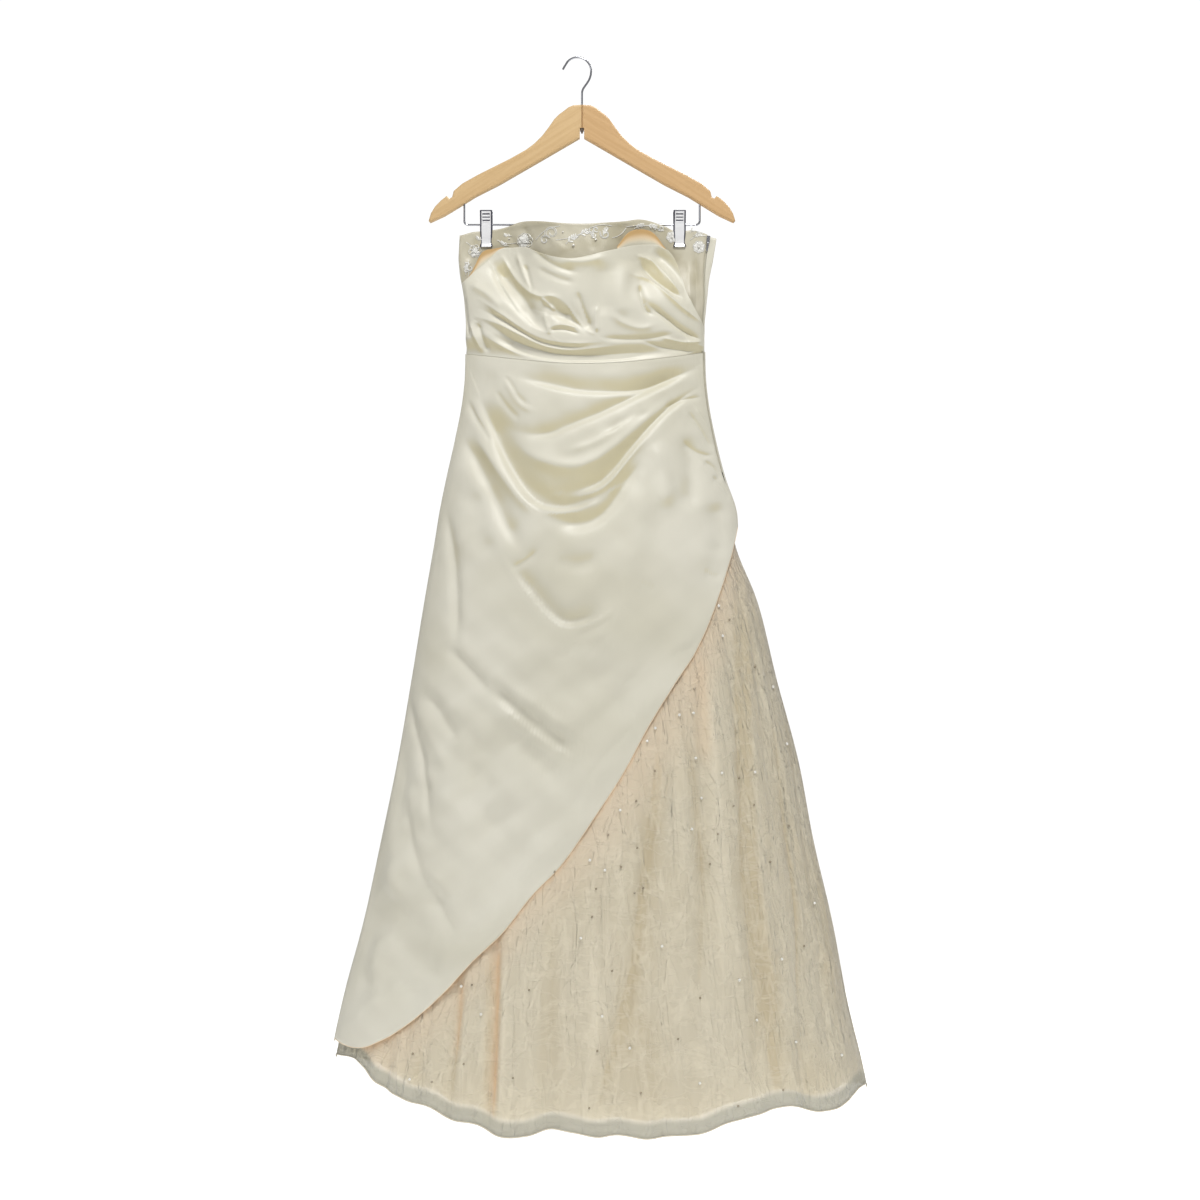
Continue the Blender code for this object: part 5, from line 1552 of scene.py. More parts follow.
def bow(start, end, sag, steps=12):
    """Points of a bowed stem between two places."""
    points = []
    for step in range(steps + 1):
        share = step / steps
        x = start[0] + (end[0] - start[0]) * share
        z = start[1] + (end[1] - start[1]) * share
        push = sag * math.sin(math.pi * share)
        length = math.hypot(end[0] - start[0], end[1] - start[1])
        points.append((x - (end[1] - start[1]) / length * push,
                       z + (end[0] - start[0]) / length * push))
    return points


# What a user may change
class DressSizes(PropertyGroup):
    """Sizes of the cloth and its trimmings, in millimetres."""
    satin_thickness: FloatProperty(
        name="Satin thickness", description="Thickness of the satin, in millimetres",
        default=0.8, min=0.2, max=1.6)
    sheer_thickness: FloatProperty(
        name="Sheer thickness", description="Thickness of the sheer cloth, in millimetres",
        default=0.4, min=0.2, max=1.0)
    bead_radius: FloatProperty(
        name="Bead radius", description="Radius of a faceted bead, in millimetres",
        default=1.8, min=0.5, max=4.0)
    pearl_radius: FloatProperty(
        name="Pearl radius", description="Radius of a pearl, in millimetres",
        default=2.2, min=0.5, max=4.0)
    thread_radius: FloatProperty(
        name="Thread radius", description="Radius of a couched thread, in millimetres",
        default=0.5, min=0.2, max=1.5)
    hem_radius: FloatProperty(
        name="Hem radius", description="Radius of a rolled hem, in millimetres",
        default=0.9, min=0.3, max=2.0)


class DressColours(PropertyGroup):
    """Colours of the cloth, threads, beads and hanger."""
    satin: FloatVectorProperty(
        name="Satin", description="Ivory satin in full light", subtype='COLOR',
        default=(0.77, 0.742, 0.63))
    # Cooler random patches of the satin; darkened, also the colour of the painted shade on
    # downward-facing slopes
    satin_shade: FloatVectorProperty(
        name="Satin shade", description="Cooler patches of the satin", subtype='COLOR',
        default=(0.66, 0.63, 0.505))
    # The bodice's top is the same satin, in a copy painted darker and greyer for the shade on its
    # recessed band
    bodice_satin: FloatVectorProperty(
        name="Bodice satin", description="Satin of the bodice's top", subtype='COLOR',
        default=(0.64, 0.60, 0.475))
    # Deeper random patches of that painted-shade copy
    bodice_shade: FloatVectorProperty(
        name="Bodice shade", description="Deeper patches of the bodice's satin",
        subtype='COLOR', default=(0.47, 0.425, 0.29))
    # Painted warm shade for the satin's hollows and downward-facing slopes
    satin_warm: FloatVectorProperty(
        name="Satin hollows", description="Warm tone in the satin's hollows", subtype='COLOR',
        default=(0.66, 0.60, 0.40))
    peach: FloatVectorProperty(
        name="Underside", description="Peach underside of the overlay", subtype='COLOR',
        default=(0.74, 0.58, 0.37))
    # Painted gold shade along the top and at the foot of the overlay's turned-in edge
    peach_edge: FloatVectorProperty(
        name="Underside's edge", description="Gold edge of the overlay's underside",
        subtype='COLOR', default=(0.56, 0.36, 0.15))
    sheer: FloatVectorProperty(
        name="Sheer cloth", description="Pale sheer skirt", subtype='COLOR',
        default=(0.82, 0.757, 0.60))
    # Painted shade in the sheer cloth's hollows, also used where it lies double
    sheer_hollow: FloatVectorProperty(
        name="Sheer hollows", description="Deeper tone where the sheer cloth folds back",
        subtype='COLOR', default=(0.74, 0.645, 0.455))
    # Painted shade of the skirt's inside, seen through the sheer cloth below the lining's hem
    sheer_bare: FloatVectorProperty(
        name="Sheer hem", description="Sheer cloth with no lining behind it", subtype='COLOR',
        default=(0.54, 0.51, 0.395))
    peach_glow: FloatVectorProperty(
        name="Peach glow", description="Peach that shines on the sheer cloth below the hem",
        subtype='COLOR', default=(0.95, 0.80, 0.60))
    lining: FloatVectorProperty(
        name="Lining", description="Peach lining of the skirt", subtype='COLOR',
        default=(0.86, 0.75, 0.58))
    thread: FloatVectorProperty(
        name="Thread", description="Silver-white embroidery thread", subtype='COLOR',
        default=(0.86, 0.85, 0.80))
    pearl: FloatVectorProperty(
        name="Pearl", description="Pearl beads", subtype='COLOR',
        default=(0.90, 0.88, 0.82))
    dark_bead: FloatVectorProperty(
        name="Faceted bead", description="Smoky faceted beads", subtype='COLOR',
        default=(0.36, 0.31, 0.22))
    wood_light: FloatVectorProperty(
        name="Light wood", description="Pale wood of the hanger", subtype='COLOR',
        default=(0.67, 0.465, 0.235))
    wood_dark: FloatVectorProperty(
        name="Dark wood", description="Grain of the hanger's wood", subtype='COLOR',
        default=(0.61, 0.41, 0.195))
    chrome: FloatVectorProperty(
        name="Chrome", description="Chrome of the hook, bar, clips and zip", subtype='COLOR',
        default=(0.52, 0.53, 0.57))


def finishes():
    """Every finish of the dress, made once from the chosen colours."""
    if "ivory_satin" in bpy.data.materials and "silk_pearl" in bpy.data.materials:
        return bpy.data.materials
    group = bpy.context.scene.dress_colours
    chosen = {key: tuple(getattr(group, key)) for key in DressColours.__annotations__}
    cloth_finish("ivory_satin", chosen["satin"], chosen["satin_shade"],
                 chosen["satin_warm"], 0.34, 0.10, 0.35, 0.45, anisotropy=0.35)
    # The bodice's top takes the painted-shade copy of the satin
    cloth_finish("bodice_satin", chosen["bodice_satin"], chosen["bodice_shade"],
                 chosen["satin_warm"], 0.30, 0.10, 0.35, 0.7, anisotropy=0.35, patch=13.0)
    underside_finish("overlay_underside", chosen["peach"], chosen["peach_edge"],
                     chosen["satin_shade"])
    sheer_finish("sheer_cloth", chosen["sheer"], chosen["sheer_hollow"],
                 chosen["peach_glow"], chosen["sheer_bare"], 0.64)
    cloth_finish("lining_cloth", chosen["lining"], chosen["sheer"],
                 chosen["peach"], 0.62, 0.15, 0.45, 0.7)
    cloth_finish("zip_cloth_weave", chosen["satin_shade"], chosen["satin_shade"],
                 chosen["peach"], 0.75, 0.1, 0.5, 0.1)
    cloth_finish("hem_cloth", chosen["satin_shade"], chosen["lining"],
                 chosen["peach"], 0.5, 0.2, 0.4, 0.1)
    cloth_finish("peach_hem", chosen["peach_glow"], chosen["peach"],
                 chosen["peach"], 0.5, 0.2, 0.4, 0.1)
    clip_finish("clip_chrome", CLIP_LIT_FACE, CLIP_SHADED_RIM)
    metal_finish("chrome_finish", chosen["chrome"], 0.15)
    metal_finish("zip_metal", chosen["chrome"], 0.22)
    wood_finish("wood_left", chosen["wood_light"], chosen["wood_dark"], ARM_LEAN)
    wood_finish("wood_right", [value * part for value, part in zip(chosen["wood_light"], RED_WOOD)],
                [value * part for value, part in zip(chosen["wood_dark"], RED_WOOD)], -ARM_LEAN)
    gem_finish("silver_thread", chosen["thread"], 0.34, 0.25, 0.05)
    gem_finish("dark_bead", chosen["dark_bead"], 0.12, 0.8)
    gem_finish("silk_pearl", chosen["pearl"], 0.16, 0.9)
    return bpy.data.materials


def skirt_front_height(base, across, up, turn):
    """Height of the overskirt's front: its pleats, finer folds and swell."""
    x, z = seen(base)
    room = ease(smooth_column(WAIST, 1, x) - z, 0.0, 30.0)
    room = room * side_share(turn, base[:, 2], OVERSKIRT_REACH)
    main = 1.05 * fine_relief(x, z, FINE_SATIN_FOLDS)
    low = ease(-z, 750.0, 1050.0)
    swell = (waver(x, z, 5, 150.0, 1.4 + 2.6 * low) + waver(x, z, 6, 60.0, 0.7 + 1.7 * low)
             + waver(x, z, 8, 30.0, 0.12 + 0.33 * low))
    near_seam = ease(smooth_column(WAIST, 1, x) - z, 0.0, 9.0) * seam_fade(across)
    fine = main * near_seam * (1.0 - room)
    return np.clip((main + swell) * room + 0.6 * fine, -12.0, 10.0)


def overlay_height(base, across, up, turn):
    """Height of the overlay: loose at its top edge, sewn at its foot, finely folded."""
    x, z = seen(base)
    side = side_share(turn, base[:, 2])
    lift = DRAPE_FOOT + ease(up, 0.0, 0.25) * (DRAPE_RISE + DRAPE_LOOSE * side)
    fine = 1.15 * fine_relief(x, z, FINE_DRAPE_FOLDS) * (0.35 + 0.65 * side) * seam_fade(across)
    folded = lift + (fine + waver(x, z, 9, 70.0, 0.5) * side) * ease(up, 0.0, 0.10)
    below = -DRAPE_RECESS * under_overlay(x, z)
    return np.clip(folded, below + DRAPE_LEAST, 15.0)


def bodice_height(base, across, up, turn):
    """The bodice steps back under the overlay, and has a few slack folds."""
    x, z = seen(base)
    inset = DRAPE_RECESS * (0.3 + 0.7 * side_share(turn, base[:, 2], 0.3))
    inset = -inset * under_overlay(x, z)
    clip_room = ease(np.minimum(np.abs(x - CLIP_X[0]), np.abs(x - CLIP_X[1])), *CLIP_REACH)
    folds = fine_relief(x, z, BODICE_FOLDS) * seam_fade(across) * clip_room
    slack = waver(x, z, 3, 60.0, 0.25) + waver(x, z, 4, 26.0, 0.28)
    return inset + np.clip(folds, -3.0, 2.4) + slack * clip_room


def sheer_front_height(base, across, up, turn):
    """Height of the sheer skirt's front: folds, gathers and its own fine creases."""
    x, z = seen(base)
    under = under_satin(x, z)
    clear = satin_clearance(x, z)
    free = 1.0 - 0.8 * under
    folds = 0.75 * fold_relief(x, z, ORGANZA_FOLDS) * (1.0 - 0.6 * under)
    folds = folds + (fine_relief(x, z, FINE_ORGANZA_FOLDS) + gathers(turn, z, 21, 46.0, 1.5)) * free
    side = side_share(turn, base[:, 2], SKIRT_REACH)
    fine = (gathers(turn, z, 22, 60.0, 0.6) + fine_relief(x, z, FINE_ORGANZA_FOLDS) * 0.5)
    height = (np.maximum(folds, -LINING_ROOM) - clear) * side + fine * (1.0 - side) * free
    past_hem = 1.0 - ease(z - smooth_column(SATIN_HEM, 1, x), -24.0, -3.0)
    roof = skirt_front_height(base, across, up, turn) + SHEER_GAP
    return np.minimum(height, roof + SHEER_FREE * past_hem)


def sheer_back_height(base, across, up, turn):
    """Height of the sheer skirt behind."""
    x, z = unseen(base)
    folds = back_relief(x, z) * ease(-z, 500.0, 900.0) + gathers(turn, z, 31, 50.0, 1.6)
    clear = back_clearance(z)
    side = side_share(turn, base[:, 2], SKIRT_REACH)
    return (np.maximum(folds, -LINING_ROOM) - clear) * side


def skirt_back_height(base, across, up, turn):
    """Height of the overskirt behind: soft upright folds and swell."""
    x, z = unseen(base)
    room = side_share(turn, base[:, 2], SKIRT_REACH) * ease(-z, 430.0, 520.0)
    soft = gathers(turn, z, 41, 17.0, 3.2) + waver(x, z, 42, 130.0, 1.6)
    soft = soft + waver(x, z, 43, 55.0, 0.8)
    return (0.45 * back_relief(x, z) + soft) * room


def satin_back_bodice(base, across, up, turn):
    """The bodice behind, with faint slack."""
    x, z = unseen(base)
    slack = waver(x, z, 51, 70.0, 0.5) + waver(x, z, 52, 34.0, 0.3)
    return slack * seam_fade(across) * ease(up, 0.0, 0.2)


class DRESS_OT_bodice(Operator):
    """Make the bodice's front and back."""
    bl_idname = "dress.bodice"
    bl_label = "Bodice"

    def execute(self, context):
        finish = finishes()
        size = context.scene.dress_sizes
        front = front_turn(SEAM_GAP / 2, zip_gap, right_seam)
        back = back_turn(SEAM_GAP / 2, zip_gap, right_seam)
        panel = cloth_sheet("bodice_front_satin", 190, 70, front,
                            edge_line(front, BODICE_TOP, seen),
                            edge_line(front, WAIST, seen),
                            bodice_height, form_skin, size.satin_thickness,
                            finish["bodice_satin"])
        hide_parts("bodice_front")
        panel = cloth_sheet("bodice_back_satin", 150, 50, back,
                            edge_line(back, BODICE_TOP_BACK, unseen),
                            edge_line(back, WAIST, unseen),
                            satin_back_bodice, form_skin, size.satin_thickness,
                            finish["ivory_satin"])
        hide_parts("bodice_back")
        return {'FINISHED'}


class DRESS_OT_overlay(Operator):
    """Make the gathered overlay and its turned-in edges."""
    bl_idname = "dress.overlay"
    bl_label = "Gathered Overlay"

    def execute(self, context):
        finish = finishes()
        size = context.scene.dress_sizes
        overlay = front_turn(1.5, drape_gap, right_seam)
        panel = cloth_sheet("overlay_satin", 250, 150, overlay,
                            edge_line(overlay, DRAPE_TOP, seen),
                            edge_line(overlay, WAIST, seen),
                            overlay_height, form_skin, size.satin_thickness,
                            finish["ivory_satin"])
        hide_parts("bodice_drape")
        for name, span, edge, node, flat in (
                ("overlay_edge_left", (-77.0, -35.0), FACING_LEFT_TOP, "drape_facing_left",
                 (0.065, 0.016)),
                ("overlay_edge_right", (13.0, 38.0), FACING_RIGHT_TOP, "drape_facing_right",
                 (0.085, 0.022))):
            turned = facing_turn(*span)
            panel = cloth_sheet(name, 60, 18, turned, edge_line(turned, edge, seen),
                                edge_line(turned, DRAPE_TOP, seen, -4.0),
                                facing_move(FACING_TOP), form_skin, 0.6,
                                finish["overlay_underside"])
            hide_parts(node)
        return {'FINISHED'}


class DRESS_OT_overskirt(Operator):
    """Make the satin overskirt, pleated from the right side seam."""
    bl_idname = "dress.overskirt"
    bl_label = "Overskirt"

    def execute(self, context):
        finish = finishes()
        size = context.scene.dress_sizes
        front = front_turn(SEAM_GAP / 2, zip_gap, right_seam)
        back = back_turn(SEAM_GAP / 2, zip_gap, right_seam)
        columns = 190
        panel = cloth_sheet("overskirt_front", columns, 240, front,
                            edge_line(front, WAIST, seen),
                            edge_line(front, SATIN_HEM, seen),
                            skirt_front_height, satin_skin, size.satin_thickness,
                            finish["ivory_satin"], 1.25)
        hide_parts("satin_skirt_front")
        edge = [panel.data.vertices[index].co + Vector(HEM_TUCK) * MM
                for index in range(columns + 1)]
        hem = threads("overskirt_hem", [edge], size.hem_radius * 0.8, finish["peach_hem"])
        panel = cloth_sheet("overskirt_back", 120, 150, back,
                            edge_line(back, WAIST, unseen),
                            edge_line(back, SATIN_HEM, unseen),
                            skirt_back_height, satin_skin, size.satin_thickness,
                            finish["ivory_satin"], 1.25)
        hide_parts("satin_skirt_back")
        return {'FINISHED'}


class DRESS_OT_sheer_skirt(Operator):
    """Make the sheer skirt with its rolled hem, and the lining inside it."""
    bl_idname = "dress.sheer_skirt"
    bl_label = "Sheer Skirt and Lining"

    def execute(self, context):
        finish = finishes()
        size = context.scene.dress_sizes
        front = front_turn(SEAM_GAP / 2, plain_gap, inner_seam)
        back = back_turn(SEAM_GAP / 2, plain_gap, inner_seam)
        for name, columns, rows, turned, view, low_edge, height, node in (
                ("sheer_front", 260, 120, front, seen, ORGANZA_HEM, sheer_front_height,
                 "organza_front"),
                ("sheer_back", 200, 80, back, unseen, ORGANZA_HEM_BACK, sheer_back_height,
                 "organza_back")):
            panel = cloth_sheet(name, columns, rows, turned,
                                edge_line(turned, WAIST, view, -INNER_GAP),
                                edge_line(turned, low_edge, view), height, organza_skin,
                                size.sheer_thickness, finish["sheer_cloth"], 1.1,
                                view is seen)
            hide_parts(node)
            edge = [panel.data.vertices[index].co.copy() for index in range(columns + 1)]
            hem = threads(name + "_hem", [edge], size.hem_radius, finish["hem_cloth"])
        for name, turned, view, hem, height, node in (
                ("lining_front_cloth", front, seen, ORGANZA_HEM, lining_move, "lining_front"),
                ("lining_back_cloth", back, unseen, ORGANZA_HEM_BACK, lining_back_move,
                 "lining_back")):
            panel = cloth_sheet(name, 110, 60, turned,
                                edge_line(turned, WAIST, view, -INNER_GAP),
                                edge_line(turned, hem, view, LINING_SHORT), height, lining_skin,
                                size.sheer_thickness, finish["lining_cloth"], 1.1)
            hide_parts(node)
        return {'FINISHED'}


class DRESS_OT_beads(Operator):
    """Sew pearls and faceted beads on the sheer skirt."""
    bl_idname = "dress.beads"
    bl_label = "Beads"

    def execute(self, context):
        finish = finishes()
        size = context.scene.dress_sizes
        pearls = bmesh.new()
        darks = bmesh.new()
        surface = surface_of("sheer_front")
        for across, down, is_pearl in BEADS:
            x, z = on_chart(across, down)
            place, normal = spot(surface, x, z)
            if place is None:
                continue
            if is_pearl:
                ball(pearls, place + normal * size.pearl_radius * 0.8 * MM, size.pearl_radius)
            else:
                ball(darks, place + normal * size.bead_radius * 0.8 * MM, size.bead_radius, 1)
        surface = surface_of("sheer_back", "overskirt_back")
        sheer = surface_of("sheer_back")
        chance = random.Random(12)
        for number in range(BACK_BEADS):
            z = chance.uniform(*BACK_BEADS_Z)
            x = chance.uniform(*BACK_BEADS_X)
            place, normal = spot(surface, x, z, True)
            inner, normal = spot(sheer, x, z, True)
            if place is None or inner is None or (place - inner).length > SAME_PLACE * MM:
                continue
            if number % 3:
                ball(darks, place + normal * size.bead_radius * 0.8 * MM, size.bead_radius, 1)
            else:
                ball(pearls, place + normal * size.pearl_radius * 0.8 * MM, size.pearl_radius)
        from_shape("skirt_pearls", pearls, finish["silk_pearl"])
        from_shape("skirt_beads", darks, finish["dark_bead"])
        return {'FINISHED'}


class DRESS_OT_embroidery(Operator):
    """Embroider flowers, leaves and scrolls along the top of the bodice."""
    bl_idname = "dress.embroidery"
    bl_label = "Embroidery"

    def execute(self, context):
        finish = finishes()
        size = context.scene.dress_sizes
        surface = surface_of("bodice_front_satin")
        petals = bmesh.new()
        pearls = bmesh.new()
        lift = size.thread_radius * 0.7
        runs = []
        for across, down, radius, count, netted in FLOWERS:
            x, z = on_chart(across, down)
            place, normal = spot(surface, x, z)
            if place is None:
                continue
            for number in range(count):
                turned = 2.0 * math.pi * number / count + 0.2
                frame_at = stand_on(place, normal, turned)
                out = radius * PETAL_OUT
                dome(petals, frame_at, radius * 0.72, out, STITCH_HEIGHT, out)
                around = [(x + math.cos(turned) * out + math.cos(angle) * radius * PETAL_LOOP,
                           z + math.sin(turned) * out + math.sin(angle) * radius * PETAL_LOOP)
                          for angle in np.linspace(0.0, 2.0 * math.pi, 13)]
                runs.append(laid_run(surface, around, lift))
            if netted:
                net = radius * NET_REACH
                for slant in (-net, net):
                    for step in range(-2, 3):
                        middle = x + step * radius * NET_STEP
                        strand = ((middle - net, z - slant), (middle, z), (middle + net, z + slant))
                        runs.append(laid_run(surface, strand, lift + 1.2))
            else:
                ball(pearls, place + normal * 1.6 * MM, 1.7)
        for across, down, length, heading, spread in LEAVES:
            x, z = on_chart(across, down)
            angle = math.radians(heading)
            tip = (x + math.cos(angle) * length, z + math.sin(angle) * length)
            stem = bow((x, z), tip, length * 0.10)
            runs.append(laid_run(surface, stem, lift))
            for share in LEAF_PLACES:
                for side in (-1.0, 1.0):
                    at = stem[int(share * (len(stem) - 1))]
                    place, normal = spot(surface, *at)
                    if place is None:
                        continue
                    turned = angle + side * math.radians(spread)
                    frame_at = stand_on(place, normal, turned)
                    leaf = length * 0.42 * (1.1 - 0.5 * share)
                    dome(petals, frame_at, leaf, leaf * 0.36, STITCH_HEIGHT, leaf * 0.5)
        for across, down, radius, start, turns in SCROLLS:
            x, z = on_chart(across, down)
            runs.append(laid_run(surface, curl(x, z, radius, start, turns), lift))
            inner = curl(x, z, radius * 0.8, start + 10.0, turns * 0.9)
            runs.append(laid_run(surface, inner, lift))
        for start, end, sag in STEMS:
            points = bow(on_chart(*start), on_chart(*end), sag, 16)
            runs.append(laid_run(surface, points, lift))
        for across, down, radius in BODICE_PEARLS:
            place, normal = spot(surface, *on_chart(across, down))
            if place is not None:
                ball(pearls, place + normal * radius * 0.8 * MM, radius)
        runs = [run for run in runs if len(run) > 1]
        threads("couched_threads", runs, size.thread_radius, finish["silver_thread"])
        from_shape("satin_stitch_petals", petals, finish["silver_thread"])
        from_shape("bodice_pearls", pearls, finish["silk_pearl"])
        return {'FINISHED'}


def recolour(node, material):
    """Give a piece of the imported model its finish."""
    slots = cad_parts[node].data.materials
    slots.clear()
    slots.append(material)


class DRESS_OT_zip(Operator):
    """Give the zip its coil, and the slider, pull and tape their finishes."""
    bl_idname = "dress.zip"
    bl_label = "Side Zip"

    def execute(self, context):
        finish = finishes()
        coil = bmesh.new()
        for number in range(ZIP_TEETH):
            z = SLIDER_FOOT - 1.0 - number * TOOTH_PITCH
            seam = right_seam(z)
            skin = tape_skin(z)
            place = Vector(section(seam, z, skin)) * MM
            out = Vector(outward(seam, z))
            frame_at = stand_on(place + out * TOOTH_LIFT * MM, out)
            size = Matrix.Diagonal([half * MM for half in TOOTH_HALF] + [1.0])
            bmesh.ops.create_icosphere(coil, subdivisions=1, radius=1.0, matrix=frame_at @ size)
        from_shape("zip_coil", coil, finish["zip_cloth_weave"])
        for node, material in (("zip_tape", "zip_cloth_weave"), ("zip_slider", "zip_metal"),
                               ("zip_pull", "zip_metal")):
            recolour(node, finish[material])
        return {'FINISHED'}


def clip_face(name, centre_x, facing, material):
    """A clip's pressed plate: ribbed thumb piece, jaw and turned-back sides."""
    shape = bmesh.new()
    bmesh.ops.create_grid(shape, x_segments=CLIP_COLUMNS, y_segments=CLIP_ROWS, size=1.0)
    side = []
    for vertex in shape.verts:
        share = vertex.co.x
        down = (1.0 - vertex.co.y) / 2
        z = CLIP_TOP + (CLIP_FOOT - CLIP_TOP) * down
        forward = float(smooth_column(CLIP_PROFILE, 1, z))
        thumb = float(ease(z, -240.0, -237.0) * ease(-z, 223.0, 225.0))
        ribs = 0.28 * math.sin(2.0 * math.pi * (z - CLIP_TOP) / RIB_PITCH) * thumb
        middle = float(1.0 - ease(abs(share), 0.55, 0.7))
        turned = float(ease(abs(share), 0.80, 1.0))
        lip = 0.35 * math.exp(-((z + 271.5) / 1.3) ** 2)
        reach = forward + ribs * middle + lip - CLIP_RIM * turned
        width = CLIP_HALF - 0.5 * float(ease(-z, 250.0, 262.0)) * float(ease(z, -272.0, -268.0))
        vertex.co = Vector((centre_x + share * width, facing * reach, z)) * MM
        # Mask of painted shade: the turned-back sides, the top edge and the rib grooves
        side.append(max(float(ease(abs(share), 0.70, 0.80)),
                        0.9 * float(ease(z, CLIP_TOP - 2.2, CLIP_TOP - 1.0)),
                        0.85 * thumb * middle * (ribs < -0.05)))
    if facing > 0.0:
        bmesh.ops.reverse_faces(shape, faces=shape.faces[:])
    piece = from_shape(name, shape, material)
    keep(piece.data, "side", side)
    wall = piece.modifiers.new("thickness", 'SOLIDIFY')
    wall.thickness = 0.7 * MM
    wall.offset = -1.0
    return piece


def arc(centre, radius, start, end, steps):
    """Points of an arc, its angles in degrees."""
    points = []
    for step in range(steps + 1):
        angle = math.radians(start + (end - start) * step / steps)
        points.append((centre[0] + radius * math.cos(angle), 0.0,
                       centre[1] + radius * math.sin(angle)))
    return points


def wire(name, points, node, material):
    """A bent round wire that takes the place of a plainer one."""
    run = [Vector(point) * MM for point in points]
    piece = threads(name, [run], WIRE_RADIUS, material, 4)
    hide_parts(node)
    return piece


class DRESS_OT_hanger(Operator):
    """Finish the wooden halves and make the hook, bar and clips."""
    bl_idname = "dress.hanger"
    bl_label = "Hanger"

    def execute(self, context):
        finish = finishes()
        for node, material in (("hanger_left", "wood_left"), ("hanger_right", "wood_right"),
                               ("hook_nut", "chrome_finish"), ("clip_left_spring", "zip_metal"),
                               ("clip_right_spring", "zip_metal")):
            recolour(node, finish[material])
        for place, centre_x in zip(("left", "right"), CLIP_X):
            for behind, facing in (("front", -1.0), ("back", 1.0)):
                piece = clip_face("clip_face_" + place + "_" + behind, centre_x, facing,
                                  finish["clip_chrome"])
                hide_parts("clip_" + place + "_" + behind)
        run = [(x, 0.0, z) for x, z in HOOK_TIP]
        run += arc((0.0, WIRE_RADIUS - HOOK_RADIUS), HOOK_RADIUS, *HOOK_ARC, 48)
        for z in np.linspace(HOOK_NECK[0][0], HOOK_NECK[-1][0], 29)[1:]:
            run.append((float(smooth_column(HOOK_NECK, 1, z)), 0.0, float(z)))
        run.append((HANGER_X, 0.0, STEM_END))
        wire("hook_wire", run, "hook", finish["chrome_finish"])
        left_x = HANGER_X - BAR_HALF
        right_x = HANGER_X + BAR_HALF
        run = [(left_x, 0.0, LEG_TOP)]
        run += arc((left_x + BAR_BEND, BAR_Z + BAR_BEND), BAR_BEND, 180.0, 270.0, 14)
        run += arc((right_x - BAR_BEND, BAR_Z + BAR_BEND), BAR_BEND, 270.0, 360.0, 14)
        run.append((right_x, 0.0, LEG_TOP))
        wire("bar_wire", run, "bar", finish["chrome_finish"])
        return {'FINISHED'}


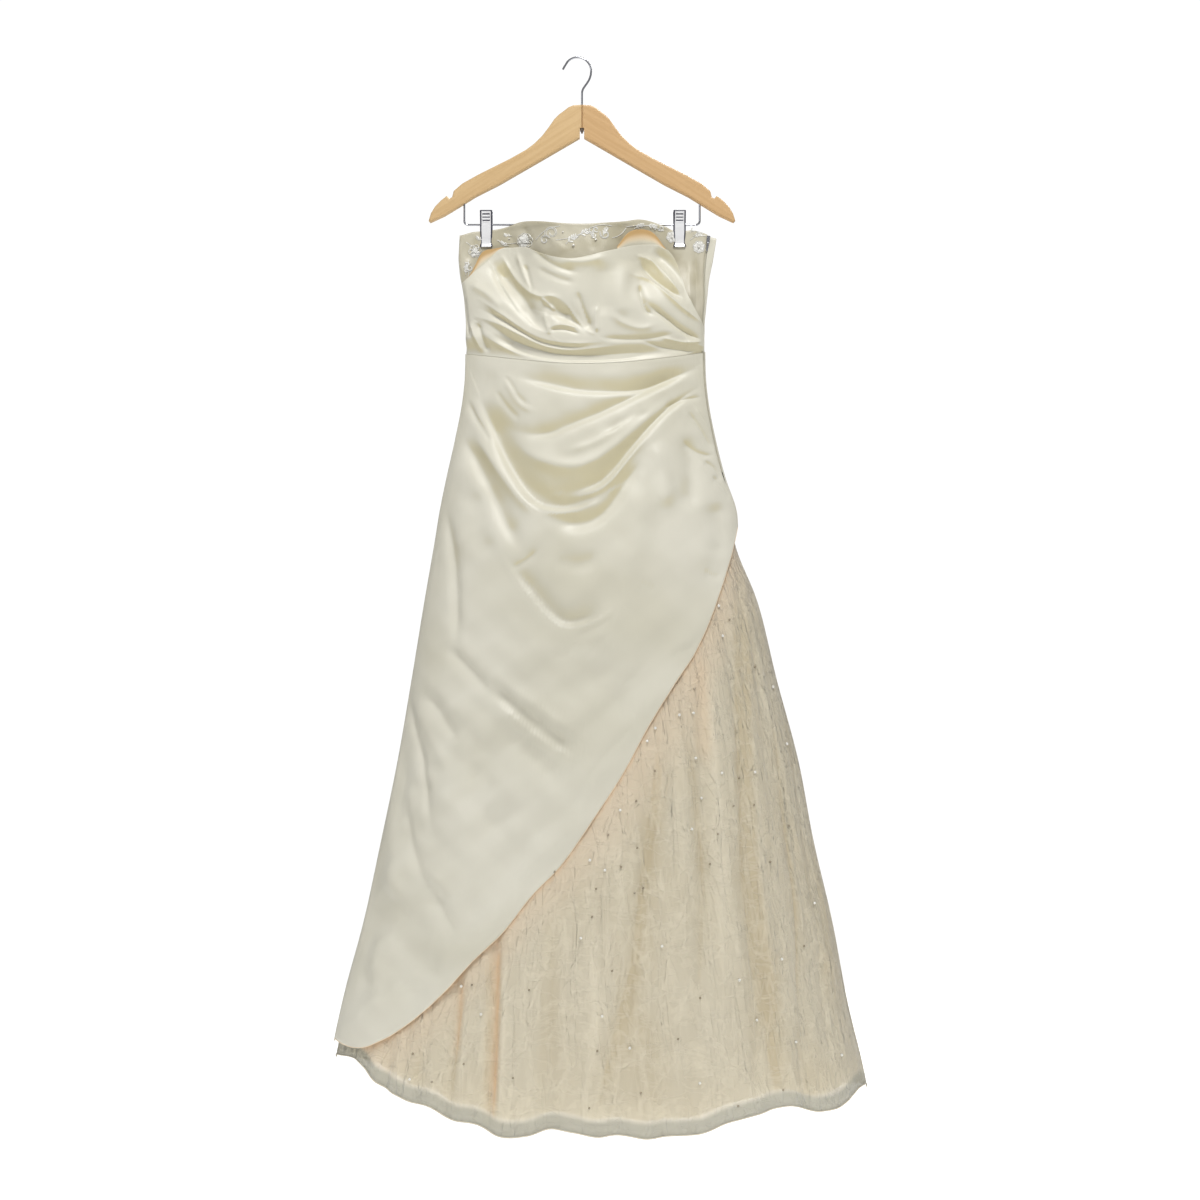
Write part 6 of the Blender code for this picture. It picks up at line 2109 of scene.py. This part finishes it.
class DRESS_OT_stage(Operator):
    """Set up the floor, backdrop, lights and camera."""
    bl_idname = "dress.stage"
    bl_label = "Stage"

    def execute(self, context):
        pale, tree, shader = new_finish("pale_stage")
        place = add(tree, "ShaderNodeTexCoord").outputs["Object"]
        tone = ramp(tree, noise(tree, place, 2.0), 0.2, 0.8)
        tree.links.new(blend_colours(tree, tone, (0.93, 0.93, 0.93), (0.95, 0.95, 0.95)),
                       shader.inputs["Base Color"])
        settle(shader, Roughness=0.9, Emission_Color=WHITE, Emission_Strength=STAGE_GLOW)
        shape = bmesh.new()
        bmesh.ops.create_circle(shape, cap_ends=True, segments=96, radius=FLOOR_RADIUS * MM,
                                matrix=Matrix.Translation((0.0, 0.0, FLOOR_Z * MM)))
        mesh = bpy.data.meshes.new("stage_floor")
        shape.to_mesh(mesh)
        shape.free()
        mesh.materials.append(pale)
        mesh.shade_smooth()
        floor = in_scene("stage_floor", mesh)

        for name, energy, width, at, aim in LIGHTS:
            light = bpy.data.lights.new(name, 'AREA')
            light.energy = energy
            light.size = width
            lamp = in_scene(name, light)
            lamp.location = at
            lamp.visible_camera = False
            way = Vector(aim) - Vector(at)
            lamp.rotation_euler = way.to_track_quat('-Z', 'Y').to_euler()

        world = bpy.data.worlds.new("soft_studio")
        world.use_nodes = True
        sky = world.node_tree
        around = sky.nodes["Background"]
        settle(around, Color=WHITE, Strength=WORLD_LIGHT)
        behind = add(sky, "ShaderNodeBackground")
        settle(behind, Color=WHITE, Strength=BACKGROUND)
        either = add(sky, "ShaderNodeMixShader")
        straight = add(sky, "ShaderNodeLightPath").outputs["Is Camera Ray"]
        sky.links.new(straight, either.inputs["Fac"])
        sky.links.new(around.outputs["Background"], either.inputs[1])
        sky.links.new(behind.outputs["Background"], either.inputs[2])
        sky.links.new(either.outputs["Shader"], sky.nodes["World Output"].inputs["Surface"])
        context.scene.world = world
        context.scene.view_settings.view_transform = 'Standard'

        lens = bpy.data.cameras.new("photo_view")
        lens.sensor_width = SENSOR
        lens.lens = SENSOR * VIEW_DISTANCE / (PICTURE_SIDE * CHART_STEP)
        camera = in_scene("photo_view", lens)
        centre_x, centre_z = on_chart(PICTURE_SIDE / 2, PICTURE_SIDE / 2)
        camera.location = Vector((centre_x, -VIEW_DISTANCE, centre_z)) * MM
        camera.rotation_euler = (math.radians(90.0), 0.0, 0.0)
        context.scene.camera = camera
        return {'FINISHED'}


class DRESS_PT_panel(Panel):
    """Lists the dress's pieces, sizes and colours in the sidebar."""
    bl_idname = "DRESS_PT_panel"
    bl_label = "Party Dress"
    bl_space_type = 'VIEW_3D'
    bl_region_type = 'UI'
    bl_category = "Dress"

    def draw(self, context):
        for operator in BUILD_ORDER:
            self.layout.operator(operator)
        for group in (context.scene.dress_sizes, context.scene.dress_colours):
            for key in group.__annotations__:
                self.layout.prop(group, key)


BUILD_ORDER = ("dress.stage", "dress.bodice", "dress.overlay", "dress.overskirt",
               "dress.sheer_skirt", "dress.beads", "dress.embroidery", "dress.zip",
               "dress.hanger")
CLASSES = (DressSizes, DressColours, DRESS_OT_bodice, DRESS_OT_overlay, DRESS_OT_overskirt,
           DRESS_OT_sheer_skirt, DRESS_OT_beads, DRESS_OT_embroidery, DRESS_OT_zip,
           DRESS_OT_hanger, DRESS_OT_stage, DRESS_PT_panel)


def register():
    """Register the classes and the settings they read."""
    for item in CLASSES:
        bpy.utils.register_class(item)
    bpy.types.Scene.dress_sizes = PointerProperty(type=DressSizes)
    bpy.types.Scene.dress_colours = PointerProperty(type=DressColours)


def unregister():
    """Take the classes and settings away again."""
    del bpy.types.Scene.dress_colours
    del bpy.types.Scene.dress_sizes
    for item in reversed(CLASSES):
        bpy.utils.unregister_class(item)


def main():
    """Build everything in order."""
    register()
    for name in BUILD_ORDER:
        group, operator = name.split(".")
        getattr(getattr(bpy.ops, group), operator)()
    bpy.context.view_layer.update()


if __name__ == "__main__":
    main()
